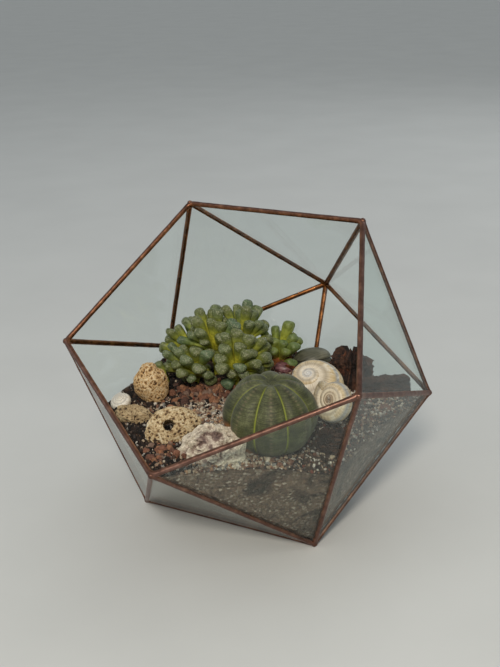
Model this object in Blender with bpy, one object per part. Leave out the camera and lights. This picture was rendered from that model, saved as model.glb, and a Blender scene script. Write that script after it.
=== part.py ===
"""Open geometric glass terrarium, planted.

A regular icosahedron stands on one of its triangles. The five faces round one upper corner are left
out and make the opening, which faces up and to the front (-Y). Every other face is a glass pane,
every edge a soldered bead. Inside are soil, a dressing of grit, succulents, shells, stones and bark.

Everything is laid out about the middle of the base triangle, with z = 0 in the mid plane of the base
pane. The empty "terrarium" then moves it all, so that the origin is at the bottom centre of the whole.
"""

import math

import bmesh
import bpy
from mathutils import Euler, Matrix, Vector, noise
from mathutils.bvhtree import BVHTree

# ---- driving dimensions, in metres

EDGE = 0.130  # edge of the icosahedron, corner to corner
GLASS = 0.0020  # thickness of a pane
RIM_RADIUS = 0.0019  # solder beads round the opening
SEAM_RADIUS = 0.0017  # solder beads between two panes
BEAD_SIDES = 12
GAP = 0.0003  # clearance between solids that touch in the real thing
FOOT_DROP = 0.0014  # depth of the flat underside of the base beads

SOIL_SURFACE = 0.072  # height of the dressing's top
SOIL_DIP = 0.012  # how far the surface falls in the right front corner
SOIL_DIP_CENTRE = (0.086, -0.050)
SOIL_DIP_SPREAD = 0.024
DRESSING_DEPTH = 0.010
STEM_BOTTOM = 0.066  # how deep the plants' stems reach
SOIL_WALL = 0.0021  # from a pane's mid plane to the soil
SOIL_GRID = 14  # cells across the surface
POCKET_CLEARANCE = 0.0006  # between a thing and the hollow it sits in

BALL_RIBS = 8
BALL_RIB_DEPTH = 0.0022

LEAF_LENGTH = 0.027
LEAF_TIP_RADIUS = 0.0042
LEAF_NECK_RADIUS = 0.0017
LEAVES_PER_HEAD = 15
LEAF_SIDES = 5
HEAD_RADIUS = 0.0062
STEM_RADIUS = 0.0036
LEAF_CLEARANCE = 0.0006
SHORTEST_LEAF = 0.42  # a leaf that would have to be shorter than this share is left out

STONE_HOLE_RADIUS = 0.0033

PHI = (1 + math.sqrt(5)) / 2
GOLDEN_ANGLE = math.pi * (3 - math.sqrt(5))
NOISE_SHIFT = Vector((11.3, 4.7, 7.9))  # moves the noise on, from one thing to the next


def corner(radius, degrees, height):
    """A corner of the icosahedron; radius and height in units of the base triangle's circumradius."""
    turn = math.radians(degrees)
    return Vector((radius * math.cos(turn), radius * math.sin(turn), height)) * (EDGE / math.sqrt(3))


CORNERS = {
    "base_back": corner(1, 90, 0),
    "base_left": corner(1, 210, 0),
    "base_right": corner(1, 330, 0),
    "low_front": corner(PHI, 270, 1),
    "low_right": corner(PHI, 30, 1),
    "low_left": corner(PHI, 150, 1),
    "mid_back": corner(PHI, 90, PHI),
    "mid_left": corner(PHI, 210, PHI),
    "mid_right": corner(PHI, 330, PHI),
    "top_right": corner(1, 30, 1 + PHI),
    "top_left": corner(1, 150, 1 + PHI),
}
OPEN_CORNER = corner(1, 270, 1 + PHI)  # the corner that the opening leaves out
CENTRE = Vector((0, 0, OPEN_CORNER.z / 2))

# name: (centre, half sizes, turn in degrees about X, Y and Z)
PLACES = {
    "round_euphorbia": ((0.0391, -0.0449, 0.0905), (0.0300, 0.0300, 0.0255), (-4, 3, 12)),
    "upright_stone": ((-0.0649, -0.0233, 0.0838), (0.0122, 0.0108, 0.0158), (0, -8, 20)),
    "flat_pitted_stone": ((-0.0567, -0.0570, 0.0752), (0.0136, 0.0092, 0.0062), (10, 8, 15)),
    "holed_stone": ((-0.0165, -0.0668, 0.0790), (0.0205, 0.0080, 0.0132), (-34, -12, 38)),
    "oyster_shell": ((0.0190, -0.0815, 0.0775), (0.0185, 0.0160, 0.0040), (50, -12, 26)),
    "banded_snail_shell": ((0.0440, 0.0145, 0.0885), (0.0200, 0.0190, 0.0165), (30, -12, 60)),
    "ringed_snail_shell": ((0.0690, -0.0140, 0.0885), (0.0148, 0.0148, 0.0115), (58, 8, 28)),
    "white_snail_shell": ((-0.0765, -0.0435, 0.0765), (0.0080, 0.0077, 0.0062), (22, 0, 0)),
    "grey_clam": ((0.0081, 0.0775, 0.0775), (0.0140, 0.0108, 0.0078), (6, -6, 25)),
    "bark_tall": ((0.0515, 0.0520, 0.0830), (0.0140, 0.0060, 0.0180), (-8, 5, 24)),
    "bark_log": ((0.0778, 0.0500, 0.0795), (0.0168, 0.0070, 0.0068), (0, -4, 22)),
    "bark_block": ((0.0725, -0.0275, 0.0705), (0.0090, 0.0085, 0.0085), (10, 6, 20)),
}

# name: (middle of the head, degrees that the whole head leans, number of leaves)
HEADS = {
    "clump_head_centre": ((-0.0473, 0.0339, 0.0970), (0, 0), LEAVES_PER_HEAD),
    "clump_head_front_left": ((-0.0500, 0.0129, 0.0851), (14, -5), LEAVES_PER_HEAD),
    "clump_head_front_right": ((-0.0215, 0.0199, 0.0921), (12, 10), LEAVES_PER_HEAD),
    "clump_head_back_left": ((-0.0683, 0.0439, 0.0851), (-4, -12), LEAVES_PER_HEAD),
    "clump_head_back_right": ((-0.0350, 0.0499, 0.0961), (-6, 8), LEAVES_PER_HEAD),
}
SIDE_HEAD = ((-0.0160, 0.0774, 0.0798), (6, 6), 8)


# ---- shared tools


def material(name, colour, roughness, metallic=0.0, transmission=0.0):
    made = bpy.data.materials.new(name)
    made.use_nodes = True
    shader = made.node_tree.nodes["Principled BSDF"]
    shader.inputs["Base Color"].default_value = (*colour, 1)
    shader.inputs["Roughness"].default_value = roughness
    shader.inputs["Metallic"].default_value = metallic
    shader.inputs["Transmission Weight"].default_value = transmission
    made.diffuse_color = (*colour, 1 - 0.75 * transmission)
    return made


def add_object(name, shape, finish, centre=(0, 0, 0), turn=(0, 0, 0), sharp_degrees=35):
    """Turn a bmesh into a placed, named object and free the bmesh."""
    bmesh.ops.recalc_face_normals(shape, faces=shape.faces)
    mesh = bpy.data.meshes.new(name)
    shape.to_mesh(mesh)
    shape.free()
    mesh.shade_smooth()
    mesh.set_sharp_from_angle(angle=math.radians(sharp_degrees))
    mesh.materials.append(finish)
    made = bpy.data.objects.new(name, mesh)
    bpy.context.scene.collection.objects.link(made)
    made.location = centre
    made.rotation_euler = Euler([math.radians(angle) for angle in turn])
    made.parent = bpy.data.objects["terrarium"]
    return made


def cut(shape, point, outward):
    """Cut a convex body off at a plane and close it again; the side that outward points to is dropped."""
    everything = shape.verts[:] + shape.edges[:] + shape.faces[:]
    result = bmesh.ops.bisect_plane(
        shape, geom=everything, dist=1e-7, plane_co=point, plane_no=outward, clear_outer=True
    )
    rim = [item for item in result["geom_cut"] if isinstance(item, bmesh.types.BMEdge)]
    if rim:
        bmesh.ops.contextual_create(shape, geom=rim)


def loft(shape, rings, start, end):
    """A closed skin over rings of points, with a point at each end."""
    loops = [[shape.verts.new(point) for point in ring] for ring in rings]
    count = len(rings[0])
    for first, second in zip(loops, loops[1:]):
        for i in range(count):
            j = (i + 1) % count
            shape.faces.new((first[i], first[j], second[j], second[i]))
    for point, loop in ((start, loops[0]), (end, loops[-1])):
        pole = shape.verts.new(point)
        for i in range(count):
            shape.faces.new((pole, loop[i], loop[(i + 1) % count]))


def roughen(point, size, seed):
    """Signed noise at a point, with lumps of about the given size."""
    return noise.noise(Vector(point) / size + NOISE_SHIFT * seed)


def apply_boolean(target, cutters, operation, joins_itself=False):
    """Run exact Booleans on the target's mesh and remove the cutters."""
    for cutter in cutters:
        step = target.modifiers.new("boolean", "BOOLEAN")
        step.operation = operation
        step.object = cutter
        step.solver = "EXACT"
        step.use_self = joins_itself
    bpy.context.view_layer.update()
    evaluated = target.evaluated_get(bpy.context.evaluated_depsgraph_get())
    mesh = bpy.data.meshes.new_from_object(evaluated)
    mesh.name = target.name
    old_mesh = target.data
    target.modifiers.clear()
    target.data = mesh
    bpy.data.meshes.remove(old_mesh)
    for cutter in cutters:
        old_mesh = cutter.data
        bpy.data.objects.remove(cutter)
        bpy.data.meshes.remove(old_mesh)


# ---- glass and solder


def neighbours(name):
    here = CORNERS[name]
    return [other for other, there in CORNERS.items() if 0 < (there - here).length < 1.01 * EDGE]


def is_on_rim(*names):
    return all((CORNERS[name] - OPEN_CORNER).length < 1.01 * EDGE for name in names)


def edge_pairs():
    names = list(CORNERS)
    return [(a, b) for i, a in enumerate(names) for b in names[i + 1 :] if b in neighbours(a)]


def pane_triples():
    return [
        (a, b, c)
        for a, b in edge_pairs()
        for c in neighbours(a)
        if c in neighbours(b) and list(CORNERS).index(c) > list(CORNERS).index(b)
    ]


def add_bead(first, second, finish):
    """One solder bead: a round bar, mitred at both corners against the other beads that meet there."""
    start, end = CORNERS[first], CORNERS[second]
    on_rim = is_on_rim(first, second)
    radius = RIM_RADIUS if on_rim else SEAM_RADIUS
    along = (end - start).normalized()
    shape = bmesh.new()
    bmesh.ops.create_cone(
        shape,
        cap_ends=True,
        segments=BEAD_SIDES,
        radius1=radius,
        radius2=radius,
        depth=EDGE + radius,
        matrix=Matrix.Translation((start + end) / 2) @ along.to_track_quat("Z", "Y").to_matrix().to_4x4(),
    )
    for here, there, direction in ((first, second, along), (second, first, -along)):
        for other in neighbours(here):
            if other == there:
                continue
            across = (CORNERS[other] - CORNERS[here]).normalized() - direction
            across.normalize()
            cut(shape, CORNERS[here] - across * GAP / 2, across)
    cut(shape, Vector((0, 0, -FOOT_DROP)), Vector((0, 0, -1)))
    kind = "rim" if on_rim else "seam"
    add_object(f"{kind}_{first}_{second}", shape, finish)


def add_pane(names, finish):
    """One triangle of glass, short of the beads round it."""
    points = [CORNERS[name] for name in names]
    middle = sum(points, Vector()) / 3
    outward = (points[1] - points[0]).cross(points[2] - points[0]).normalized()
    if outward.dot(middle - CENTRE) < 0:
        outward.negate()
    in_radius = EDGE / (2 * math.sqrt(3))
    shrink = (in_radius - RIM_RADIUS - GAP) / in_radius
    shape = bmesh.new()
    inner = [middle + (point - middle) * shrink - outward * GLASS / 2 for point in points]
    face = shape.faces.new([shape.verts.new(point) for point in inner])
    sheet = bmesh.ops.extrude_face_region(shape, geom=[face])
    raised = [item for item in sheet["geom"] if isinstance(item, bmesh.types.BMVert)]
    bmesh.ops.translate(shape, verts=raised, vec=outward * GLASS)
    add_object("pane_" + "_".join(names), shape, finish, sharp_degrees=20)


def inner_planes():
    """A point and an outward normal for the inside of every pane, with room for the soil's clearance."""
    planes = []
    for names in pane_triples():
        points = [CORNERS[name] for name in names]
        outward = (points[1] - points[0]).cross(points[2] - points[0]).normalized()
        if outward.dot(points[0] - CENTRE) < 0:
            outward.negate()
        planes.append((points[0] - outward * SOIL_WALL, outward))
    return planes


# ---- soil


def surface_height(x, y):
    """The dressing's top: level, with low mounds, falling in the right front corner."""
    away = (x - SOIL_DIP_CENTRE[0]) ** 2 + (y - SOIL_DIP_CENTRE[1]) ** 2
    dip = SOIL_DIP * math.exp(-away / (2 * SOIL_DIP_SPREAD**2))
    return SOIL_SURFACE - dip + 0.0012 * roughen((x, y, 0), 0.035, 1)


def height_layer(name, top_drop, thickness):
    """A slab whose top follows the surface, this far below it."""
    half = 1.05 * EDGE
    shape = bmesh.new()
    bmesh.ops.create_grid(shape, x_segments=SOIL_GRID, y_segments=SOIL_GRID, size=half)
    for vert in shape.verts:
        vert.co.z = surface_height(vert.co.x, vert.co.y) - top_drop
    bmesh.ops.triangulate(shape, faces=shape.faces[:], quad_method="FIXED")
    top_faces = shape.faces[:]
    lower = bmesh.ops.extrude_face_region(shape, geom=top_faces, use_keep_orig=True)
    lowered = [item for item in lower["geom"] if isinstance(item, bmesh.types.BMVert)]
    bmesh.ops.translate(shape, verts=lowered, vec=(0, 0, -thickness))
    return add_object(name, shape, bpy.data.materials["moist_soil"])


def inner_volume():
    """The space inside the panes, cut down from a block."""
    shape = bmesh.new()
    bmesh.ops.create_cube(shape, size=4 * EDGE)
    for point, outward in inner_planes():
        cut(shape, point, outward)
    return shape


def pocket_round(thing):
    """A slightly larger convex copy of a thing, to cut its hollow with."""
    shape = bmesh.new()
    for vert in thing.data.vertices:
        shape.verts.new(thing.matrix_world @ vert.co)
    bmesh.ops.convex_hull(shape, input=shape.verts[:])
    inside = [vert for vert in shape.verts if not vert.link_faces]
    bmesh.ops.delete(shape, geom=inside, context="VERTS")
    bmesh.ops.recalc_face_normals(shape, faces=shape.faces)
    shape.normal_update()
    offsets = [(vert, vert.normal.copy()) for vert in shape.verts]
    for vert, outward in offsets:
        vert.co += outward * POCKET_CLEARANCE
    return add_object("pocket", shape, bpy.data.materials["moist_soil"])


def pocket_for_stem(middle):
    """A round hole for a plant's stem, open at the surface."""
    depth = DRESSING_DEPTH
    shape = bmesh.new()
    bmesh.ops.create_cone(
        shape,
        cap_ends=True,
        segments=10,
        radius1=STEM_RADIUS + POCKET_CLEARANCE,
        radius2=STEM_RADIUS + POCKET_CLEARANCE,
        depth=2 * depth,
        matrix=Matrix.Translation((middle[0], middle[1], STEM_BOTTOM + depth - 3 * POCKET_CLEARANCE)),
    )
    return add_object("pocket", shape, bpy.data.materials["moist_soil"])


def add_soil(things, stems, soil_finish, grit_finish):
    """Soil up to the dressing, and the dressing on it, each with hollows for what is set into it."""
    layers = (
        ("potting_soil", DRESSING_DEPTH + 2 * GAP, 2 * EDGE, soil_finish),
        ("grit_dressing", 0.0, DRESSING_DEPTH, grit_finish),
    )
    for name, top_drop, thickness, finish in layers:
        ground = add_object(name, inner_volume(), finish)
        apply_boolean(ground, [height_layer(name + "_layer", top_drop, thickness)], "INTERSECT")
        pockets = [pocket_round(thing) for thing in things] + [pocket_for_stem(middle) for middle in stems]
        apply_boolean(ground, pockets, "DIFFERENCE")


# ---- plants


def rib_profile(turn):
    """0 on a rib's crest and 1 in the furrow beside it."""
    return 1 - abs(math.cos(BALL_RIBS * turn / 2)) ** 0.7


def add_ball(finish):
    """A low ribbed globe, dimpled at its crown."""
    centre, (radius, _, half_height), turn_about = PLACES["round_euphorbia"]
    columns, rows = 4 * BALL_RIBS, 11
    rings = []
    for row in range(1, rows):
        polar = math.pi * row / rows
        ring = []
        for column in range(columns):
            turn = 2 * math.pi * column / columns
            depth = BALL_RIB_DEPTH * rib_profile(turn) * math.sin(polar)
            across = (radius - depth) * math.sin(polar)
            height = half_height * math.cos(polar)
            ring.append((across * math.cos(turn), across * math.sin(turn), height))
        rings.append(ring)
    shape = bmesh.new()
    loft(shape, rings, (0, 0, half_height * 0.955), (0, 0, -half_height))
    return add_object("round_euphorbia", shape, finish, centre, turn_about, sharp_degrees=60)


def club_rings(base, direction, length, tip, neck, sides):
    """Rings of a leaf that starts slim and ends in a blunt club."""
    turn = direction.to_track_quat("Z", "Y").to_matrix()
    stations = ((0.0, neck), (0.45, neck * 1.25), (0.78, tip * 0.86), (0.94, tip), (1.0, tip * 0.72))
    rings = []
    for along, radius in stations:
        ring = []
        for i in range(sides):
            angle = 2 * math.pi * i / sides
            flat = Vector((radius * math.cos(angle), radius * math.sin(angle), along * length))
            ring.append(base + turn @ flat)
        rings.append(ring)
    return rings


def leaf_is_clear(base, direction, length, tip, walls, obstacles):
    """Whether a leaf's outer half stays inside the walls and off the other things."""
    for along in (0.55, 0.78, 1.0):
        point = base + direction * (length * along)
        room = tip + LEAF_CLEARANCE
        if any((point - wall).dot(outward) > -room for wall, outward in walls):
            return False
        for tree in obstacles:
            if tree.find_nearest(point)[3] < room:
                return False
    return True


def add_head(name, place, rivals, obstacles, finish, leaf, spread):
    """A stem with its rosette of leaves, joined into one body; leaves give way to the neighbours."""
    middle, lean, count = place
    middle = Vector(middle)
    length, tip, neck = leaf
    walls = inner_planes()
    for rival in rivals:
        between = Vector(rival) - middle
        walls.append((middle + between / 2, between.normalized()))
    tilt = Euler((math.radians(lean[0]), math.radians(lean[1]), 0)).to_matrix()
    leaves = bmesh.new()
    for i in range(count):
        rise = math.radians(spread[0] + (spread[1] - spread[0]) * (i / (count - 1)) ** 0.8)
        turn = i * GOLDEN_ANGLE
        level = math.cos(rise)
        direction = tilt @ Vector((level * math.cos(turn), level * math.sin(turn), math.sin(rise)))
        reach = length * (0.92 + 0.12 * math.sin(5.1 * i))
        shortest = SHORTEST_LEAF * length
        while reach > shortest and not leaf_is_clear(middle, direction, reach, tip, walls, obstacles):
            reach *= 0.95
        if reach > shortest:
            rings = club_rings(middle, direction, reach, tip, neck, LEAF_SIDES)
            loft(leaves, rings, middle - direction * 0.0005, middle + direction * (reach + 0.0004))
    stem = bmesh.new()
    x, y, top = middle
    stations = ((STEM_BOTTOM, STEM_RADIUS * 0.8), (top - HEAD_RADIUS, STEM_RADIUS), (top, HEAD_RADIUS))
    rings = []
    for height, radius in stations:
        turns = [2 * math.pi * i / 8 for i in range(8)]
        rings.append([(x + radius * math.cos(t), y + radius * math.sin(t), height) for t in turns])
    loft(stem, rings, (x, y, STEM_BOTTOM - 0.0008), (x, y, top + HEAD_RADIUS * 0.7))
    head = add_object(name, stem, finish, sharp_degrees=50)
    rosette = add_object(name + "_leaves", leaves, finish)
    apply_boolean(head, [rosette], "UNION", joins_itself=True)
    return head


# ---- shells, stones and bark


def add_snail(name, finish, bulges):
    """A globose shell: its radius grows once round, and steps in again at the mouth."""
    centre, (half_x, half_y, half_z), turn_about = PLACES[name]
    columns, rows = 20, 9
    rings = []
    for row in range(1, rows):
        polar = math.pi * row / rows
        swell = 1 - 0.07 * (1 - abs(math.sin(bulges * polar)))
        ring = []
        for column in range(columns + 1):
            turn = 2 * math.pi * column / columns
            grown = (0.80 + 0.20 * column / columns) * swell * math.sin(polar)
            x, y = half_x * grown * math.cos(turn), half_y * grown * math.sin(turn)
            ring.append((x, y, half_z * math.cos(polar)))
        rings.append(ring)
    shape = bmesh.new()
    loft(shape, rings, (0, 0, half_z), (0, 0, -half_z))
    return add_object(name, shape, finish, centre, turn_about)


def add_oyster(finish):
    """A ruffled, cupped plate, thickest in the middle."""
    centre, (half_x, half_y, half_z), turn_about = PLACES["oyster_shell"]
    columns = 24

    def point(share, turn, side):
        ruffle = 1 + 0.07 * math.sin(5 * turn + 1) + 0.05 * math.sin(9 * turn)
        x = half_x * share * ruffle * math.cos(turn)
        y = half_y * share * ruffle * math.sin(turn)
        cup = half_z * 0.9 * share**2
        wave = half_z * 0.35 * share**3 * math.sin(5 * turn)
        thickness = half_z * (1 - share**2) * 0.6 + 0.0007
        return (x, y, cup + wave - half_z * 0.4 + side * thickness)

    turns = [2 * math.pi * i / columns for i in range(columns)]
    upper = [[point(share, turn, 1) for turn in turns] for share in (0.35, 0.7, 1.0)]
    lower = [[point(share, turn, -1) for turn in turns] for share in (1.0, 0.7, 0.35)]
    shape = bmesh.new()
    loft(shape, upper + lower, point(0, 0, 1), point(0, 0, -1))
    return add_object("oyster_shell", shape, finish, centre, turn_about)


def add_clam(finish):
    """Two closed valves that meet at a pinched edge."""
    centre, (half_x, half_y, half_z), turn_about = PLACES["grey_clam"]
    columns, rows = 20, 10
    rings = []
    for row in range(1, rows):
        polar = math.pi * row / rows
        pinch = 1 - 0.05 * math.exp(-(((polar - math.pi / 2) / 0.16) ** 2))
        across = math.sin(polar) ** 0.8 * pinch
        ring = []
        for column in range(columns):
            turn = 2 * math.pi * column / columns
            beak = 1 + 0.10 * math.cos(turn) ** 3
            x, y = half_x * across * math.cos(turn) * beak, half_y * across * math.sin(turn)
            ring.append((x, y, half_z * math.cos(polar)))
        rings.append(ring)
    shape = bmesh.new()
    loft(shape, rings, (0, 0, half_z), (0, 0, -half_z))
    return add_object("grey_clam", shape, finish, centre, turn_about)


def add_stone(name, finish, seed, lumps, slim_top=0.0):
    """A weathered stone: a round body with lumps, narrower at the top where slim_top says so."""
    centre, half_sizes, turn_about = PLACES[name]
    shape = bmesh.new()
    bmesh.ops.create_icosphere(shape, subdivisions=3, radius=1)
    for vert in shape.verts:
        swell = 1 + lumps * roughen(vert.co, 0.7, seed) + 0.4 * lumps * roughen(vert.co, 0.3, seed + 1)
        taper = 1 - slim_top * max(0.0, vert.co.z)
        vert.co = Vector(
            (
                vert.co.x * half_sizes[0] * swell * taper,
                vert.co.y * half_sizes[1] * swell * taper,
                vert.co.z * half_sizes[2] * swell,
            )
        )
    return add_object(name, shape, finish, centre, turn_about)


def add_stone_hole(stone):
    """The natural hole, through the stone's broad face near its left end."""
    _, half_sizes, _ = PLACES["holed_stone"]
    drill = bmesh.new()
    bmesh.ops.create_cone(
        drill,
        cap_ends=True,
        segments=14,
        radius1=STONE_HOLE_RADIUS,
        radius2=STONE_HOLE_RADIUS,
        depth=4 * half_sizes[1],
        matrix=Matrix.Rotation(math.radians(90), 4, "X"),
    )
    bmesh.ops.translate(drill, verts=drill.verts, vec=(-0.20 * half_sizes[0], 0, 0.12 * half_sizes[2]))
    bit = add_object("stone_drill", drill, stone.data.materials[0])
    bit.matrix_world = stone.matrix_world
    apply_boolean(stone, [bit], "DIFFERENCE")


def add_bark(name, finish, seed, along):
    """A ragged slab of bark, lofted along its own X or Z, with a broken end."""
    centre, half_sizes, turn_about = PLACES[name]
    stations, sides = 7, 10
    half_long = half_sizes[along]
    first, second = [half_sizes[i] for i in range(3) if i != along]
    rings = []
    for station in range(stations):
        share = -1 + 2 * station / (stations - 1)
        ring = []
        for i in range(sides):
            turn = 2 * math.pi * i / sides
            x, y = math.cos(turn), math.sin(turn)
            square = 1 / max(abs(x), abs(y)) ** 0.6
            ragged = square * (0.82 + 0.30 * roughen((x, y, share * 1.5), 0.6, seed))
            slant = 0.10 * half_long * roughen((x * 2, y * 2, share), 0.8, seed + 2)
            flat = [first * ragged * x, second * ragged * y]
            flat.insert(along, share * half_long + slant)
            ring.append(tuple(flat))
        rings.append(ring)
    ends = []
    for side in (-1, 1):
        end = [0.0, 0.0]
        end.insert(along, side * half_long * 0.97)
        ends.append(tuple(end))
    shape = bmesh.new()
    loft(shape, rings, ends[0], ends[1])
    return add_object(name, shape, finish, centre, turn_about)


# ---- the whole


def world_tree(thing):
    shape = bmesh.new()
    shape.from_mesh(thing.data)
    shape.transform(thing.matrix_world)
    tree = BVHTree.FromBMesh(shape)
    shape.free()
    return tree


def set_origin_at_bottom_centre(holder):
    """Move the empty, so that the whole stands on z = 0 about the origin."""
    bpy.context.view_layer.update()
    corners = [child.matrix_world @ vert.co for child in holder.children for vert in child.data.vertices]
    low = [min(point[i] for point in corners) for i in range(3)]
    high = [max(point[i] for point in corners) for i in range(3)]
    holder.location = (-(low[0] + high[0]) / 2, -(low[1] + high[1]) / 2, -low[2])


def build():
    for old in list(bpy.data.objects):
        bpy.data.objects.remove(old)
    holder = bpy.data.objects.new("terrarium", None)
    bpy.context.scene.collection.objects.link(holder)

    solder = material("copper_solder", (0.20, 0.095, 0.075), 0.42, metallic=1.0)
    glass = material("clear_glass", (0.86, 0.93, 0.91), 0.03, transmission=1.0)
    soil = material("moist_soil", (0.040, 0.030, 0.024), 0.95)
    grit = material("grit", (0.115, 0.070, 0.050), 0.90)
    ball_skin = material("euphorbia_skin", (0.075, 0.110, 0.055), 0.55)
    leaf_skin = material("leaf_skin", (0.200, 0.300, 0.130), 0.50)
    side_leaf_skin = material("side_leaf_skin", (0.210, 0.330, 0.100), 0.45)
    shell_cream = material("cream_shell", (0.66, 0.56, 0.40), 0.35)
    shell_ringed = material("ringed_shell", (0.48, 0.36, 0.22), 0.40)
    shell_white = material("white_shell", (0.76, 0.71, 0.62), 0.35)
    oyster = material("oyster", (0.50, 0.42, 0.36), 0.45)
    clam = material("grey_shell", (0.20, 0.20, 0.17), 0.50)
    limestone = material("limestone", (0.46, 0.32, 0.18), 0.90)
    bark = material("bark", (0.060, 0.033, 0.022), 0.90)

    for first, second in edge_pairs():
        add_bead(first, second, solder)
    for names in pane_triples():
        add_pane(names, glass)

    ball = add_ball(ball_skin)
    upright = add_stone("upright_stone", limestone, 3, 0.16, slim_top=0.28)
    flat = add_stone("flat_pitted_stone", limestone, 5, 0.18)
    holed = add_stone("holed_stone", limestone, 9, 0.16)
    shells = [
        add_snail("banded_snail_shell", shell_cream, 3),
        add_snail("ringed_snail_shell", shell_ringed, 2),
        add_snail("white_snail_shell", shell_white, 3),
    ]
    oyster_shell = add_oyster(oyster)
    grey_clam = add_clam(clam)
    barks = [
        add_bark("bark_tall", bark, 4, along=2),
        add_bark("bark_log", bark, 6, along=0),
        add_bark("bark_block", bark, 8, along=0),
    ]
    bpy.context.view_layer.update()
    things = [ball, upright, flat, holed, oyster_shell, grey_clam, *shells, *barks]
    obstacles = [world_tree(thing) for thing in things]

    middles = {name: place[0] for name, place in HEADS.items()}
    for name, place in HEADS.items():
        rivals = [other for key, other in middles.items() if key != name] + [SIDE_HEAD[0]]
        leaf = (LEAF_LENGTH, LEAF_TIP_RADIUS, LEAF_NECK_RADIUS)
        add_head(name, place, rivals, obstacles, leaf_skin, leaf, (84, 4))
    slim_leaf = (LEAF_LENGTH * 0.92, LEAF_TIP_RADIUS * 0.66, LEAF_NECK_RADIUS * 0.9)
    add_head("side_clump", SIDE_HEAD, middles.values(), obstacles, side_leaf_skin, slim_leaf, (80, 22))

    add_stone_hole(holed)
    bpy.context.view_layer.update()
    stems = [place[0] for place in HEADS.values()] + [SIDE_HEAD[0]]
    add_soil(things, stems, soil, grit)
    set_origin_at_bottom_centre(holder)


build()
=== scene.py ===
import math
import random

import bmesh
import bpy
import numpy as np
from mathutils import Euler, Matrix, Vector, noise


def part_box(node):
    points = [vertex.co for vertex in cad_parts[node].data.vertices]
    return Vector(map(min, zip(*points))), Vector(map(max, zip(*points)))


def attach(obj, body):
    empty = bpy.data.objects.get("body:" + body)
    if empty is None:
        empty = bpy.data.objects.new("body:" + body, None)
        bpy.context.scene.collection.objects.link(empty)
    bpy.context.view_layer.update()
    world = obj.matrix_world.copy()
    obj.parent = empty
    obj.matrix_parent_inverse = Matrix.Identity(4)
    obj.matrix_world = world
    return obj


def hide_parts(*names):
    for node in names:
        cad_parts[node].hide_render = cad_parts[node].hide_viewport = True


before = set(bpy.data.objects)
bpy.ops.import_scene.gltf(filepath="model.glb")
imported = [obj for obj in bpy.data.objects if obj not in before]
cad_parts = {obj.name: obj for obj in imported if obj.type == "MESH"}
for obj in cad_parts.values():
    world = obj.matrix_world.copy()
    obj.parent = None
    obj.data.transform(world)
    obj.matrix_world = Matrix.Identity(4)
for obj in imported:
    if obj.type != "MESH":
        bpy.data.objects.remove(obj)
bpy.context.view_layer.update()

fullTurn = 2 * math.pi
goldenTurn = math.pi * (3 - math.sqrt(5))
noise.seed_set(7)  # the vector noise in the stones starts from this, so each run is the same


# shared helpers

def mm(size):
    return size * 0.001


def perMm(size):
    return 1000.0 / size  # texture scale that gives features of this size in mm


def hexColour(code):
    parts = [int(code[i:i + 2], 16) / 255 for i in (0, 2, 4)]
    return tuple(p / 12.92 if p < 0.04045 else ((p + 0.055) / 1.055) ** 2.4 for p in parts) + (1.0,)


def between(low, high, share):
    return low + (high - low) * share


def smoothStep(low, high, value):
    share = min(1.0, max(0.0, (value - low) / (high - low)))
    return share * share * (3 - 2 * share)


def lumps(point, size, seed=0.0):
    return noise.noise(Vector(point) / size + Vector((seed * 7.1, seed * 3.7, seed * 5.3)))


def middleOf(node):
    low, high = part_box(node)
    return (Vector(low) + Vector(high)) / 2


def turnsOf(count):
    return [fullTurn * k / count for k in range(count)]


def turnedBy(degrees):
    return Euler([math.radians(a) for a in degrees]).to_matrix()


def placed(points, middle, degrees):
    turn = turnedBy(degrees)
    return [middle + turn @ Vector(p) for p in points]


def ballShape(subdivisions):
    # the points and faces of a ball of radius 1
    ball = bmesh.new()
    bmesh.ops.create_icosphere(ball, subdivisions=subdivisions, radius=1)
    points = [vert.co.copy() for vert in ball.verts]
    faces = [tuple(vert.index for vert in face.verts) for face in ball.faces]
    ball.free()
    return points, faces


def addPiece(name, verts, faces, material, replaced, attributes=None, smooth=True):
    mesh = bpy.data.meshes.new(name)
    mesh.from_pydata([tuple(v) for v in verts], [], faces)
    mesh.update()
    for key, values in (attributes or {}).items():
        layer = mesh.attributes.new(key, "FLOAT", "POINT")
        layer.data.foreach_set("value", np.asarray(values, dtype=np.float32))
    if smooth:
        mesh.shade_smooth()
    mesh.materials.append(material)
    piece = bpy.data.objects.new(name, mesh)
    bpy.context.scene.collection.objects.link(piece)
    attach(piece, "root")
    if replaced:
        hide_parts(*replaced)
    return piece


def loftFaces(rings, columns, start=0, closedEnds=True):
    # rings of equal length one after another, then the first and the last pole
    faces = []
    for ring in range(rings - 1):
        a = start + ring * columns
        b = a + columns
        for i in range(columns):
            j = (i + 1) % columns
            faces.append((a + i, a + j, b + j, b + i))
    if closedEnds:
        firstPole = start + rings * columns
        last = start + (rings - 1) * columns
        for i in range(columns):
            j = (i + 1) % columns
            faces.append((firstPole, start + j, start + i))
            faces.append((firstPole + 1, last + i, last + j))
    return faces


def turnedRight(piece):
    # every face looks outwards
    work = bmesh.new()
    work.from_mesh(piece.data)
    bmesh.ops.recalc_face_normals(work, faces=work.faces)
    work.to_mesh(piece.data)
    work.free()
    return piece


# nodes

blending = {"data_type": "RGBA"}
darkening = {"data_type": "RGBA", "blend_type": "MULTIPLY"}


def fillInputs(tree, node, inputs):
    for key, value in inputs.items():
        if isinstance(value, bpy.types.Node):  # a node stands for the first output that it shows
            value = next(socket for socket in value.outputs if socket.enabled)
        if isinstance(value, bpy.types.NodeSocket):
            tree.links.new(value, node.inputs[key])
        else:
            node.inputs[key].default_value = value
    return node


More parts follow.
